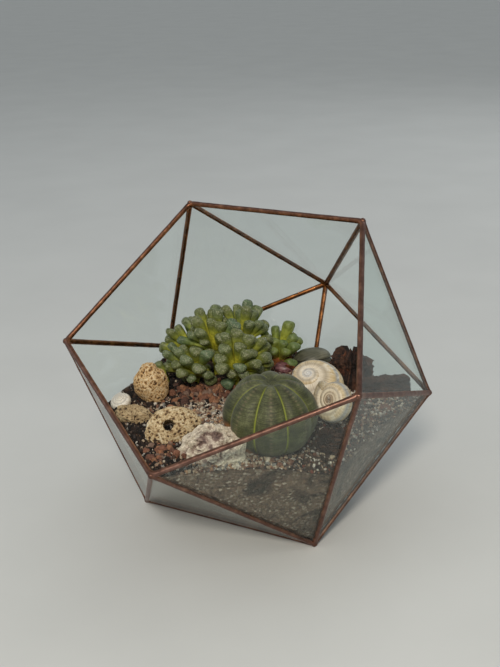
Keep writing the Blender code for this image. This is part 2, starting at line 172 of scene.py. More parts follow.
def addNode(tree, kind, settings=None, inputs=None):
    node = tree.nodes.new("ShaderNode" + kind)
    for key, value in (settings or {}).items():
        if key == "stops":  # colours or greys along a ramp
            elements = node.color_ramp.elements
            while len(elements) < len(value):
                elements.new(0.5)
            for element, (position, colour) in zip(elements, value):
                element.position = position
                element.color = hexColour(colour)
        else:
            setattr(node, key, value)
    return fillInputs(tree, node, inputs or {})


def startMaterial(name, values, *attributes):
    # gives back the material, its tree, shader and object coordinates, then values kept on the mesh
    material = bpy.data.materials.new(name)
    material.use_nodes = True
    tree = material.node_tree
    shader = fillInputs(tree, tree.nodes["Principled BSDF"], values)
    where = addNode(tree, "TexCoord").outputs["Object"]
    kept = [addNode(tree, "Attribute", {"attribute_name": key}).outputs["Fac"]
            for key in attributes]
    return material, tree, shader, where, *kept


def finishSurface(tree, shader, colour, height, strength, depthMm):
    relief = addNode(tree, "Bump", None,
                     {"Height": height, "Strength": strength, "Distance": mm(depthMm)})
    fillInputs(tree, shader, {"Base Color": colour, "Normal": relief})


def finishGrained(tree, shader, where, colour, grain):
    # a matt grained surface: darker in the hollows of the grain, which is also its relief
    texture = addNode(tree, "TexNoise", None, {"Vector": where, "Scale": perMm(grain["mm"]),
                                               "Detail": 4.0, "Roughness": grain.get("rough", 0.5)})
    shade = addNode(tree, "ValToRGB", {"stops": grain["stops"]}, {"Fac": texture})
    worn = addNode(tree, "Mix", darkening, {0: grain["amount"], 6: colour, 7: shade})
    finishSurface(tree, shader, worn, texture, grain["strength"], grain["depthMm"])


def agedCopper():
    # copper foil and solder, left to tarnish: mauve brown outside; warmer and brighter on the inward
    # side, partly the copper's own colour and partly painted light
    material, tree, shader, where, inward = startMaterial(
        "copper foil solder, tarnished", {"Metallic": 1.0}, "inward")
    streaks = addNode(tree, "TexNoise", None,
                      {"Vector": where, "Scale": perMm(6), "Detail": 4.0, "Roughness": 0.55})
    grime = addNode(tree, "TexNoise", None, {"Vector": where, "Scale": perMm(2.2), "Detail": 3.0})
    # outer: tarnished copper; inner: warmer copper made brighter, partly painted light on the inward
    # faces
    outer, inner = (addNode(tree, "ValToRGB", {"stops": stops}, {"Fac": streaks}) for stops in (
        ((0.20, "5e4740"), (0.50, "7a5d54"), (0.80, "977a6e")),
        ((0.28, "54371f"), (0.52, "8a5630"), (0.74, "bd7f4c"))))
    blend = addNode(tree, "Mix", blending, {0: inward, 6: outer, 7: inner})
    dull = addNode(tree, "ValToRGB", {"stops": ((0.42, "000000"), (0.66, "ffffff"))},
                   {"Fac": grime})
    worn = addNode(tree, "Mix", darkening, {0: 0.22, 6: blend, 7: dull})
    rough = addNode(tree, "MapRange", None, {"Value": grime, "From Min": 0.3, "From Max": 0.7,
                                             "To Min": 0.28, "To Max": 0.52})
    fillInputs(tree, shader, {"Roughness": rough})
    finishSurface(tree, shader, worn, grime, 0.35, 0.25)
    return material


def clearGlass():
    # 2 mm soda-lime sheet: clear straight on, a mirror at a shallow angle, a breath of green
    material, tree, shader, where = startMaterial("soda-lime sheet glass", {})
    tree.nodes.remove(shader)
    ripple = addNode(tree, "TexNoise", None, {"Vector": where, "Scale": perMm(45), "Detail": 1.0})
    bump = addNode(tree, "Bump", None, {"Height": ripple, "Strength": 0.06, "Distance": mm(1)})
    through = addNode(tree, "BsdfTransparent", None, {"Color": hexColour("fbfefd")})
    mirror = addNode(tree, "BsdfGlossy", None,
                     {"Color": hexColour("f4f6f4"), "Roughness": 0.03, "Normal": bump})
    grazing = addNode(tree, "LayerWeight", None, {"Blend": 0.5, "Normal": bump}).outputs["Facing"]
    steep = addNode(tree, "Math", {"operation": "POWER"}, {0: grazing, 1: 7.0})
    mirrored = addNode(tree, "Math", {"operation": "MULTIPLY_ADD"}, {0: steep, 1: 0.96, 2: 0.04})
    surface = addNode(tree, "MixShader", None, {0: mirrored, 1: through, 2: mirror})
    fillInputs(tree, tree.nodes["Material Output"], {"Surface": surface})
    return material


copper = agedCopper()
glass = clearGlass()
print("metal and glass ready")


# the glass body: an icosahedron on one face, without the five faces round one upper corner

glassSettings = {
    "edge": 0.130,
    "thickness": 0.0020,
    "inset": 0.0007,  # how far a pane stops short of the corner line, inside the bead
}
ratio = (1 + math.sqrt(5)) / 2
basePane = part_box("pane_base_back_base_left_base_right")
baseMiddle = Vector((0, (2 * basePane[0][1] + basePane[1][1]) / 3,
                     (basePane[0][2] + basePane[1][2]) / 2))


def cornerAt(radius, degrees, height):
    turn = math.radians(degrees)
    step = glassSettings["edge"] / math.sqrt(3)
    return baseMiddle + Vector((radius * math.cos(turn), radius * math.sin(turn), height)) * step


corners = {
    "base_back": cornerAt(1, 90, 0),
    "base_left": cornerAt(1, 210, 0),
    "base_right": cornerAt(1, 330, 0),
    "low_front": cornerAt(ratio, 270, 1),
    "low_right": cornerAt(ratio, 30, 1),
    "low_left": cornerAt(ratio, 150, 1),
    "mid_back": cornerAt(ratio, 90, ratio),
    "mid_left": cornerAt(ratio, 210, ratio),
    "mid_right": cornerAt(ratio, 330, ratio),
    "top_right": cornerAt(1, 30, 1 + ratio),
    "top_left": cornerAt(1, 150, 1 + ratio),
}
openCorner = cornerAt(1, 270, 1 + ratio)
bodyCentre = Vector((baseMiddle.x, baseMiddle.y, (baseMiddle.z + openCorner.z) / 2))
rimOrder = ("low_front", "mid_right", "top_right", "top_left", "mid_left")


def touching(first, second):
    return 0 < (corners[first] - corners[second]).length < 1.01 * glassSettings["edge"]


def edgePairs():
    names = list(corners)
    return [(a, b) for i, a in enumerate(names) for b in names[i + 1:] if touching(a, b)]


def paneTriples():
    names = list(corners)
    return [(a, b, c) for a, b in edgePairs() for c in names[names.index(b) + 1:]
            if touching(a, c) and touching(b, c)]


def outwardOf(names):
    a, b, c = (corners[name] for name in names)
    normal = (b - a).cross(c - a).normalized()
    return normal if normal.dot(a - bodyCentre) > 0 else -normal


walls = [(corners[names[0]], outwardOf(names)) for names in paneTriples()]


def roomInside(point):
    # distance to the nearest pane's mid plane, positive inside
    return min((wall - point).dot(outward) for wall, outward in walls)


def makePane(names):
    trio = [corners[name] for name in names]
    middle = (trio[0] + trio[1] + trio[2]) / 3
    outward = outwardOf(names)
    inRadius = glassSettings["edge"] / (2 * math.sqrt(3))
    shrink = (inRadius - glassSettings["inset"]) / inRadius
    half = glassSettings["thickness"] / 2
    verts = [middle + (p - middle) * shrink + outward * side
             for side in (-half, half) for p in trio]
    faces = [(0, 2, 1), (3, 4, 5), (0, 1, 4, 3), (1, 2, 5, 4), (2, 0, 3, 5)]
    node = "pane_" + "_".join(names)
    turnedRight(addPiece("glass_" + node, verts, faces, glass, [node], smooth=False))


for names in paneTriples():
    makePane(names)
print("panes set")


# solder beads

beadSettings = {
    "seamHalfWidth": 0.0018,
    "seamHalfHeight": 0.0014,
    "flare": 0.30,  # how much a seam swells where it meets a corner, and over what length
    "flareLength": 0.0035,
    "stations": 80,
    "sides": 16,
    "rimRadius": 0.0018,
    "rimFlare": 0.22,
    "rimFlareLength": 0.004,
    "rimBend": 0.0050,  # radius that the rim turns its corners with
    "rimBendSteps": 8,
    "rimStraightSteps": 56,
    "knotRadius": 0.0021,
}


def beadMesh(path, outs, radii, closed):
    # radii: half width and half height at each station
    sides = beadSettings["sides"]
    verts, inward = [], []
    count = len(path)
    for i, point in enumerate(path):
        before = path[i - 1] if closed or i > 0 else path[i]
        after = path[(i + 1) % count] if closed or i < count - 1 else path[i]
        along = (after - before).normalized()
        out = (outs[i] - along * outs[i].dot(along)).normalized()
        side = along.cross(out)
        for turn in turnsOf(sides):
            swell = (1 + 0.05 * lumps(point + out * math.cos(turn) * 0.003, 0.004, 3)
                     + 0.05 * lumps(point, 0.009, 5))
            wide = side * math.sin(turn) * radii[i][0]
            spot = point + (wide + out * math.cos(turn) * radii[i][1]) * swell
            spot.z = max(spot.z, 0.0)
            verts.append(spot)
            # share of the bead that faces inward, where the copper is painted warmer and brighter
            # (partly painted light)
            inward.append(0.5 - 0.5 * math.cos(turn))
    faces = loftFaces(count, sides, closedEnds=not closed)
    if closed:
        last = (count - 1) * sides
        faces += [(last + k, last + (k + 1) % sides, (k + 1) % sides, k) for k in range(sides)]
    else:
        verts += [path[0], path[-1]]
        inward += [0.5, 0.5]
    return verts, faces, inward


def makeSeam(first, second):
    s = beadSettings
    start, end = corners[first], corners[second]
    length = (end - start).length
    out = ((start + end) / 2 - bodyCentre).normalized()
    path, radii = [], []
    for i in range(s["stations"]):
        share = i / (s["stations"] - 1)
        path.append(start.lerp(end, share))
        nearest = min(share, 1 - share) * length
        swell = 1 + s["flare"] * math.exp(-nearest / s["flareLength"])
        radii.append((s["seamHalfWidth"] * swell, s["seamHalfHeight"] * swell))
    verts, faces, inward = beadMesh(path, [out] * len(path), radii, False)
    node = f"seam_{first}_{second}"
    turnedRight(addPiece("solder_" + node, verts, faces, copper, [node],
                         {"inward": inward}))


def makeRim():
    # one continuous bead round the opening, with its corners turned on a small radius
    s = beadSettings
    bend = s["rimBend"]
    path = []
    for i, name in enumerate(rimOrder):
        here, there = corners[name], corners[rimOrder[(i + 1) % len(rimOrder)]]
        before = (corners[rimOrder[i - 1]] - here).normalized()
        after = (there - here).normalized()
        half = math.acos(before.dot(after)) / 2
        reach = bend / math.tan(half)
        centre = here + (before + after).normalized() * (bend / math.sin(half))
        arcFrom, arcTo = here + before * reach - centre, here + after * reach - centre
        for k in range(s["rimBendSteps"] + 1):
            path.append(centre + arcFrom.slerp(arcTo, k / s["rimBendSteps"]).normalized() * bend)
        straightFrom, straightTo = path[-1].copy(), there - after * reach
        for k in range(1, s["rimStraightSteps"]):
            path.append(straightFrom.lerp(straightTo, k / s["rimStraightSteps"]))
    outs = [(point - bodyCentre).normalized() for point in path]
    radii = []
    for point in path:
        nearest = min((point - corners[name]).length for name in rimOrder)
        swell = 1 + s["rimFlare"] * math.exp(-nearest / s["rimFlareLength"])
        radii.append((s["rimRadius"] * swell, s["rimRadius"] * 0.95 * swell))
    verts, faces, inward = beadMesh(path, outs, radii, True)
    nodes = [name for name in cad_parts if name.startswith("rim_")]
    turnedRight(addPiece("solder_rim", verts, faces, copper, nodes,
                         {"inward": inward}))


def makeKnot(name):
    # the small heap of solder where the beads meet
    shape, faces = ballShape(4)
    inwards = (bodyCentre - corners[name]).normalized()
    verts, inward = [], []
    for point in shape:
        swell = 1 + 0.10 * lumps(point, 0.8, len(name))
        spot = corners[name] + point * beadSettings["knotRadius"] * swell
        spot.z = max(spot.z, 0.0)
        verts.append(spot)
        # inward share of the knot, painted warmer and brighter like the beads (partly painted light)
        inward.append(0.5 + 0.5 * point.dot(inwards))
    addPiece("solder_knot_" + name, verts, faces, copper, (), {"inward": inward})


for first, second in edgePairs():
    if not (first in rimOrder and second in rimOrder):
        makeSeam(first, second)
makeRim()
for name in corners:
    makeKnot(name)
print("beads soldered")


# soil and the dressing on it

soilSettings = {
    "surface": 0.072,
    "dip": 0.012,
    "dipCentre": (0.086, -0.050),
    "dipSpread": 0.024,
    "toGlass": 0.00115,  # from a pane's mid plane to the soil
    "dressing": 0.0135,  # depth of the layer that is modelled with the surface
    "dressingGap": 0.0002,  # between that layer and the fill below it
    "aboveBase": 0.0014,  # from the base pane's mid plane to the fill
    "columns": 300,
    "topRings": 70,
    "fillRings": 3,
    "sideRings": 12,
}
surfaceLevel = baseMiddle.z + soilSettings["surface"]
floorOfDressing = surfaceLevel - soilSettings["dressing"]


def surfaceHeight(x, y):
    away = (x - soilSettings["dipCentre"][0]) ** 2 + (y - soilSettings["dipCentre"][1]) ** 2
    dip = soilSettings["dip"] * math.exp(-away / (2 * soilSettings["dipSpread"] ** 2))
    rough = 0.0012 * lumps((x, y, 0), 0.030, 1) + 0.0008 * lumps((x, y, 0), 0.009, 2)
    return surfaceLevel - dip + rough


def reachAt(turn, height):
    # how far it is from the middle axis to the soil's side in this direction
    direction = Vector((math.cos(turn), math.sin(turn), 0))
    start = Vector((baseMiddle.x, baseMiddle.y, height))
    reach = 1.0
    for wall, outward in walls:
        slope = direction.dot(outward)
        if slope > 1e-6:
            reach = min(reach, ((wall - start).dot(outward) - soilSettings["toGlass"]) / slope)
    return reach


def spotAt(turn, reach):
    return baseMiddle.x + reach * math.cos(turn), baseMiddle.y + reach * math.sin(turn)


def soilBody(topRings, topAt, bottom):
    # rings out from the middle over the top, then down the sides, and a closed bottom
    sideRings = soilSettings["sideRings"]
    turns = turnsOf(soilSettings["columns"])
    verts, rimHeights = [], []
    for turn in turns:
        height = surfaceLevel
        for _ in range(3):  # settles where the surface meets the glass
            height = topAt(*spotAt(turn, reachAt(turn, height)))
        rimHeights.append(height)
    for ring in range(1, topRings + 1):
        for turn, rimHeight in zip(turns, rimHeights):
            x, y = spotAt(turn, reachAt(turn, rimHeight) * (ring / topRings))
            verts.append((x, y, rimHeight if ring == topRings else topAt(x, y)))
    for ring in range(1, sideRings + 1):
        for turn, rimHeight in zip(turns, rimHeights):
            height = between(rimHeight, bottom, ring / sideRings)
            verts.append((*spotAt(turn, reachAt(turn, height)), height))
    x, y = baseMiddle.x, baseMiddle.y
    verts += [(x, y, topAt(x, y)), (x, y, bottom)]
    return verts, loftFaces(topRings + sideRings, len(turns))


def pottingMix():
    # damp peat and sand pressed against glass: grey brown and gritty, with dark charcoal smears
    # (grains are drawn at 1.4 mm, coarser than real, so that they show)
    material, tree, shader, where, openTop = startMaterial(
        "damp potting soil", {"Roughness": 0.9}, "open_top")
    fine = addNode(tree, "TexVoronoi", None, {"Vector": where, "Scale": perMm(1.4)})
    coarse = addNode(tree, "TexNoise", None,
                     {"Vector": where, "Scale": perMm(3.2), "Detail": 6.0, "Roughness": 0.75})
    patches = addNode(tree, "TexNoise", None, {"Vector": where, "Scale": perMm(24), "Detail": 6.0,
                                               "Roughness": 0.58, "Distortion": 0.8})
    grains = addNode(tree, "ValToRGB", {"stops": (
        (0.0, "1e1916"), (0.30, "503f34"), (0.52, "706050"), (0.66, "5d4335"), (0.78, "8b8072"),
        (0.90, "bdb4a5"))}, {"Fac": fine.outputs["Color"]})
    body = addNode(tree, "ValToRGB",
                   {"stops": ((0.32, "2c241e"), (0.50, "5b4c40"), (0.70, "7d6b5a"))}, {"Fac": coarse})
    mixed = addNode(tree, "Mix", blending, {0: 0.55, 6: body, 7: grains})
    damp = addNode(tree, "ValToRGB", {"stops": ((0.51, "ffffff"), (0.61, "454342"))},
                   {"Fac": patches})
    soaked = addNode(tree, "Mix", darkening, {0: 0.85, 6: mixed, 7: damp})
    shaded = addNode(tree, "Mix", darkening, {0: openTop, 6: soaked, 7: hexColour("a39080")})
    finishSurface(tree, shader, shaded, fine, 0.7, 0.8)
    return material


dampSoil = pottingMix()
verts, faces = soilBody(soilSettings["fillRings"],
                        lambda x, y: floorOfDressing - soilSettings["dressingGap"],
                        baseMiddle.z + soilSettings["aboveBase"])
turnedRight(addPiece("potting_soil_fill", verts, faces, dampSoil, ["potting_soil"]))
verts, faces = soilBody(soilSettings["topRings"], surfaceHeight, floorOfDressing)
onTop = soilSettings["columns"] * (soilSettings["topRings"] - 1)
openTop = [1.0 if i < onTop or i == len(verts) - 2 else 0.0 for i in range(len(verts))]
turnedRight(addPiece("dressing_bed", verts, faces, dampSoil, ["grit_dressing"],
                     {"open_top": openTop}))
print("soil filled")


# loose grains: every grain is its own small faceted stone, of one colour of its kind

grainKinds = {
    "fine_grit": {
        "count": 7600, "low": 0.0007, "high": 0.0015, "subdivisions": 1, "seed": 11,
        "stone": "mixed quartz and shell grit", "roughness": 0.7,
        "stops": ((0.00, "8b6f5c"), (0.14, "5d4a40"), (0.30, "a58d76"), (0.42, "3f3430"),
                  (0.56, "c9b79e"), (0.66, "7a3f2b"), (0.78, "b5b0a8"), (0.88, "e6e0d4"),
                  (0.94, "6f6a66")),
    },
    "soil_crumbs": {
        "count": 3800, "low": 0.0009, "high": 0.0021, "subdivisions": 1, "seed": 12,
        "stone": "black peat crumbs", "roughness": 0.95,
        "stops": ((0.00, "17120f"), (0.35, "241b16"), (0.65, "33261f"), (0.90, "4c3a2f")),
    },
    "brick_granules": {
        "count": 300, "low": 0.0013, "high": 0.0036, "subdivisions": 2, "seed": 13,
        "stone": "crushed brick-red lava", "roughness": 0.85,
        "stops": ((0.00, "77503f"), (0.22, "8a5e49"), (0.45, "5d4137"), (0.60, "9a6a4c"),
                  (0.74, "8b7263"), (0.88, "a5785a")),
        "heaps": (  # x, y, spread and number of each heap
            (-0.037, 0.001, 0.009, 140), (-0.052, -0.012, 0.009, 30), (-0.012, -0.092, 0.009, 40),
            (0.0, -0.01, 0.06, 110)),
    },
    "pale_gravel": {
        "count": 2400, "low": 0.0009, "high": 0.0021, "subdivisions": 1, "seed": 15,
        "stone": "washed river gravel", "roughness": 0.7,
        "stops": ((0.00, "cfc3ae"), (0.16, "a08770"), (0.32, "84604d"), (0.46, "b8a890"),
                  (0.60, "6e5244"), (0.70, "ded6c8"), (0.80, "8f8d88"), (0.90, "b08a68")),
        "heaps": ((-0.018, -0.030, 0.010, 1100), (0.018, -0.084, 0.016, 600),
                  (0.040, -0.078, 0.014, 500), (-0.045, -0.040, 0.016, 160)),
    },
    "pressed_grit": {
        "count": 6000, "low": 0.0004, "high": 0.0011, "subdivisions": 1, "seed": 14,
        "stone": "grit against the glass", "roughness": 0.75,
        "stops": ((0.00, "6b5f54"), (0.20, "84796d"), (0.40, "4a4039"), (0.58, "7d7060"),
                  (0.72, "70503f"), (0.84, "8c7f6e"), (0.95, "2e2825")),
    },
}
strewSettings = {
    "reach": 0.112,  # half of the square that is strewn; what falls outside the glass is dropped
    "depth": 0.011,  # mean depth of the grit that shows against the low panes
    "halfWidth": 0.07,
    "fromPane": 0.0014,
    "clear": 0.0013,  # least distance from a pane's mid plane to a grain's middle
    "touch": 0.00108,  # and to its skin, for grit pressed against the glass
    "pressed": 0.8,  # how much smaller pressed grit is
}


def mineralGrains(settings):
    # crushed stone: each grain one colour, with a little dust
    material, tree, shader, where = startMaterial(
        settings["stone"], {"Roughness": settings["roughness"]})
    island = addNode(tree, "NewGeometry").outputs["Random Per Island"]
    colour = addNode(tree, "ValToRGB", {"stops": settings["stops"]}, {"Fac": island})
    colour.color_ramp.interpolation = "CONSTANT"
    dust = {"mm": 1.2, "stops": ((0.30, "8c8680"), (0.70, "ffffff")), "amount": 0.8,
            "strength": 0.5, "depthMm": 0.4}
    finishGrained(tree, shader, where, colour, dust)
    return material


def scatterOnTop(settings, draw):
    places = []
    if "heaps" in settings:
        for x, y, spread, count in settings["heaps"]:
            places += [(draw.gauss(x, spread), draw.gauss(y, spread)) for _ in range(count)]
    else:
        reach = strewSettings["reach"]
        places = [(draw.uniform(-reach, reach), draw.uniform(-reach, reach))
                  for _ in range(4 * settings["count"])]
    return [Vector((x, y, surfaceHeight(x, y))) for x, y in places]


def scatterOnSides(count, draw):
    # against the low panes, thick just under the surface and thin below
    s = strewSettings
    low = [(wall, outward) for wall, outward in walls if -0.9 < outward.z < 0.0]
    places = []
    while len(places) < count:
        wall, outward = draw.choice(low)
        across = outward.cross(Vector((0, 0, 1))).normalized()
        depth = draw.expovariate(1 / s["depth"])
        spot = (Vector((0, 0, surfaceLevel - depth))
                + across * draw.uniform(-s["halfWidth"], s["halfWidth"]))
        spot += outward * ((wall - spot).dot(outward) - s["fromPane"])
        if roomInside(spot) > s["clear"] and 0.004 < spot.z < surfaceHeight(spot.x, spot.y):
            places.append(spot)
    return places


def makeGrains(kind):
    settings = grainKinds[kind]
    pressed = kind == "pressed_grit"
    draw = random.Random(settings["seed"])
    shape, shapeFaces = ballShape(settings["subdivisions"])
    if pressed:
        places = scatterOnSides(settings["count"], draw)
    else:
        places = scatterOnTop(settings, draw)
    verts, faces = [], []
    made = 0
    for spot in places:
        size = between(settings["low"], settings["high"], draw.random() ** 1.8)
        if made >= settings["count"]:
            break
        if not pressed:
            # more peat towards one side, more grit towards the other
            along = spot.x + 0.35 * (spot.y + 0.05)
            peaty = smoothStep(0.012, -0.030, along + 0.02 * lumps(spot, 0.02, 7))
            chances = {"fine_grit": 1.0 - 0.60 * peaty, "soil_crumbs": 0.10 + 0.90 * peaty}
            tooNear = roomInside(spot) < strewSettings["clear"] + size
            if tooNear or draw.random() > chances.get(kind, 1.0):
                continue
            spot = spot + Vector((0, 0, size * draw.uniform(-0.1, 0.6)))
        turn = Euler([draw.uniform(0, 6.283) for _ in range(3)]).to_matrix()
        limits = ((0.8, 1.35), (0.7, 1.1), (0.5, 0.9))  # length, width and height to the size
        stretch = Vector([size * draw.uniform(*pair) for pair in limits])
        if pressed:
            stretch *= strewSettings["pressed"]
        start = len(verts)
        for corner in shape:
            chip = draw.uniform(0.78, 1.12)
            verts.append(spot + turn @ (corner * stretch) * chip)
        if pressed:
            for i in range(start, len(verts)):
                over = strewSettings["touch"] - roomInside(verts[i])
                if over > 0:
                    nearest = min(walls, key=lambda wall: (wall[0] - verts[i]).dot(wall[1]))
                    verts[i] = verts[i] - nearest[1] * over
        faces += [tuple(start + i for i in face) for face in shapeFaces]
        made += 1
    addPiece(kind, verts, faces, mineralGrains(settings), (), smooth=False)


for kind in grainKinds:
    makeGrains(kind)
print("grit strewn")


# round euphorbia

euphorbiaSettings = {
    "node": "round_euphorbia",
    "tilt": (6, 3.5, 6),
    "radius": 0.0298,
    "halfHeight": 0.0253,
    "ribs": 8,
    "columnsPerRib": 26,
    "rings": 150,
    "furrow": 0.0036,
    "crease": 0.0006,
    "creaseWidth": 0.00045,
    "notch": 0.0011,
    "dimple": 0.0042,
    "scarSpacing": 0.0026,
    "scarWidth": 0.0009,
    "scarHeight": 0.0006,
    "corkSide": (-0.62, -0.50, -0.60),  # the rubbed side, as a direction from the middle
}


def euphorbiaSkin():
    # waxy skin: dull grey green, fine pale cross lines, yellow-green creases, dry cork low down
    material, tree, shader, where, crease, scar, cork, rise, around = startMaterial(
        "waxy euphorbia skin", {"Roughness": 0.6, "Sheen Weight": 0.08},
        "crease", "scar", "cork", "rise", "around")
    lined = addNode(tree, "CombineXYZ", None, {"X": around, "Y": rise})
    stretched = addNode(tree, "Mapping", None, {"Vector": lined, "Scale": (0.10, 1.25, 1.0)})
    bands = addNode(tree, "TexNoise", None, {"Vector": stretched, "Scale": 1.0, "Detail": 3.0})
    mottle = addNode(tree, "TexNoise", None,
                     {"Vector": where, "Scale": perMm(7), "Detail": 5.0, "Roughness": 0.6})
    dots = addNode(tree, "TexNoise", None, {"Vector": where, "Scale": perMm(0.9), "Detail": 2.0})
    colour = addNode(tree, "ValToRGB",
                     {"stops": ((0.34, "3b3f20"), (0.5, "515531"), (0.66, "6a6d48"))},
                     {"Fac": mottle})
    for texture, amount, stops in (
            (bands, 0.75, ((0.40, "a3a695"), (0.58, "ffffff"))),
            (dots, 0.6, ((0.45, "b9bfae"), (0.6, "ffffff")))):
        shade = addNode(tree, "ValToRGB", {"stops": stops}, {"Fac": texture})
        colour = addNode(tree, "Mix", darkening, {0: amount, 6: colour, 7: shade})
    corkTone = addNode(tree, "ValToRGB", {"stops": ((0.35, "5f3a1e"), (0.6, "b27a45"))},
                       {"Fac": mottle})
    for share, other in ((crease, hexColour("8a9428")), (scar, hexColour("8c7a62")),
                         (cork, corkTone)):
        colour = addNode(tree, "Mix", blending, {0: share, 6: colour, 7: other})
    finishSurface(tree, shader, colour, bands, 0.25, 0.2)
    return material


def makeEuphorbia():
    s = euphorbiaSettings
    corkSide = Vector(s["corkSide"]).normalized()
    columns = s["ribs"] * s["columnsPerRib"]
    kept = {key: [] for key in ("crease", "scar", "cork", "rise", "around")}
    points = []
    arc = 0.0
    previous = None
    for ring in range(s["rings"]):
        polar = math.pi * (ring + 1) / (s["rings"] + 1)
        up = math.cos(polar)
        wide = math.sin(polar) ** 0.93
        flat = (wide * s["radius"], up * s["halfHeight"])
        if previous:
            arc += math.dist(flat, previous)
        previous = flat
        upper = polar < 1.5
        dimple = s["dimple"] * math.exp(-(wide / 0.20) ** 2) if upper else 0.0
        for column, turn in enumerate(turnsOf(columns)):
            across = abs(((column / s["columnsPerRib"]) % 1) * 2 - 1)  # 0 on a crest, 1 in a crease
            toCrease = max(1e-6, (1 - across) * math.pi * wide * s["radius"] / s["ribs"])
            toCrest = across * math.pi * wide * s["radius"] / s["ribs"]
            inCrease = math.exp(-(toCrease / s["creaseWidth"]) ** 2)
            deep = (s["furrow"] * across ** 2.6 * smoothStep(0.02, 0.34, wide)
                    * (0.55 + 0.45 * smoothStep(2.6, 1.2, polar)))
            deep += s["crease"] * inCrease
            step = abs((arc / s["scarSpacing"]) % 1 - 0.5) * s["scarSpacing"]
            onScar = (math.exp(-(toCrest / s["scarWidth"]) ** 2 - (step / s["scarHeight"]) ** 2)
                      * smoothStep(0.25, 0.5, wide))
            direction = Vector((math.cos(turn), math.sin(turn), 0))
            radius = wide * s["radius"] - deep + 0.00025 * onScar
            notch = (s["notch"] * across ** 2 * smoothStep(0.03, 0.25, wide)
                     * math.exp(-(wide / 0.62) ** 4) * upper)
            point = direction * radius + Vector((0, 0, up * s["halfHeight"] - dimple - notch))
            wave = (0.00035 * lumps(point, 0.010, 4)
                    + 0.00002 * math.sin(arc / 0.00042 + 3 * lumps(point, 0.012, 6)))
            point += Vector((direction.x, direction.y, up)).normalized() * wave
            points.append(point)
            facing = point.normalized().dot(corkSide)
            rubbed = smoothStep(0.74, 0.88, facing + 0.10 * lumps(point, 0.006, 9))
            underneath = smoothStep(-0.72, -0.90, up + 0.06 * lumps(point, 0.005, 8))
            kept["crease"].append(
                inCrease * 0.9 * smoothStep(0.20, 0.55, wide) * smoothStep(2.7, 2.0, polar))
            kept["scar"].append(onScar * 0.4)
            kept["cork"].append(max(rubbed, underneath))
            kept["rise"].append(arc * 1000)
            kept["around"].append(turn * wide * s["radius"] * 1000)
    points += [Vector((0, 0, s["halfHeight"] - 0.0044)), Vector((0, 0, -s["halfHeight"]))]
    for values in kept.values():
        values += [0.0, 0.0]
    turnedRight(addPiece("euphorbia_body", placed(points, middleOf(s["node"]), s["tilt"]),
                         loftFaces(s["rings"], columns), euphorbiaSkin(), [s["node"]],
                         kept))


makeEuphorbia()
print("euphorbia grown")


# succulent clump

leafSettings = {
    "length": 0.0265,
    "tip": 0.0042,
    "neck": 0.0019,
    "columns": 26,
    "bodyRings": 13,
    "capRings": 10,
    "capStart": 0.87,
    "granule": 0.0012,
    "granuleHeight": 0.00017,
    "spacing": 0.0079,  # between the tips
    "toGlass": 0.0060,
    "overSoil": 0.0022,
}
headSettings = {
    # node: middle, lean in degrees, directions tried, cosine of the lowest, leaf length factor,
    # tip factor, granules
    "clump_head_centre": ((-0.0473, 0.0340, 0.0984), (0, 0), 52, -0.40, 1.00, 1.02, 1.0),
    "clump_head_front_left": ((-0.0510, 0.0130, 0.0865), (14, -5), 46, -0.34, 0.99, 1.04, 1.0),
    "clump_head_front_right": ((-0.0225, 0.0200, 0.0930), (12, 8), 48, -0.36, 0.99, 1.06, 1.0),
    "clump_head_back_left": ((-0.0700, 0.0440, 0.0865), (-4, -14), 44, -0.36, 1.02, 0.98, 1.0),
    "clump_head_back_right": ((-0.0350, 0.0500, 0.0975), (-6, 8), 48, -0.36, 1.02, 1.00, 1.0),
    "side_clump": ((-0.0175, 0.0725, 0.0772), (5, 28), 22, 0.38, 1.03, 1.00, 0.25),
}
lowLeaves = (
    # base, tip, width factor, granules, how blue: a lone shoot beside the tall stone, then the
    # leaves that rest round the foot of the clump
    ((-0.0640, -0.0050, 0.0790), (-0.0700, -0.0075, 0.0945), 0.86, 0.5, 0.2),
    ((-0.0480, 0.0200, 0.0830), (-0.0565, 0.0030, 0.0815), 1.25, 1.0, 0.1),
    ((-0.0470, 0.0200, 0.0820), (-0.0350, 0.0060, 0.0805), 1.05, 0.7, 0.2),
    ((-0.0230, 0.0220, 0.0800), (-0.0230, 0.0060, 0.0795), 1.05, 0.5, 1.0),
    ((-0.0700, 0.0300, 0.0860), (-0.0885, 0.0240, 0.0930), 0.90, 0.7, 0.1),
    ((-0.0335, 0.0515, 0.0850), (-0.0205, 0.0615, 0.0930), 1.05, 1.0, 0.1),
)
# what the clump's leaves keep clear of, and by how much
keepOut = [(middleOf(node), reach) for node, reach in (
    ("round_euphorbia", 0.0335), ("upright_stone", 0.0185), ("grey_clam", 0.0170))]


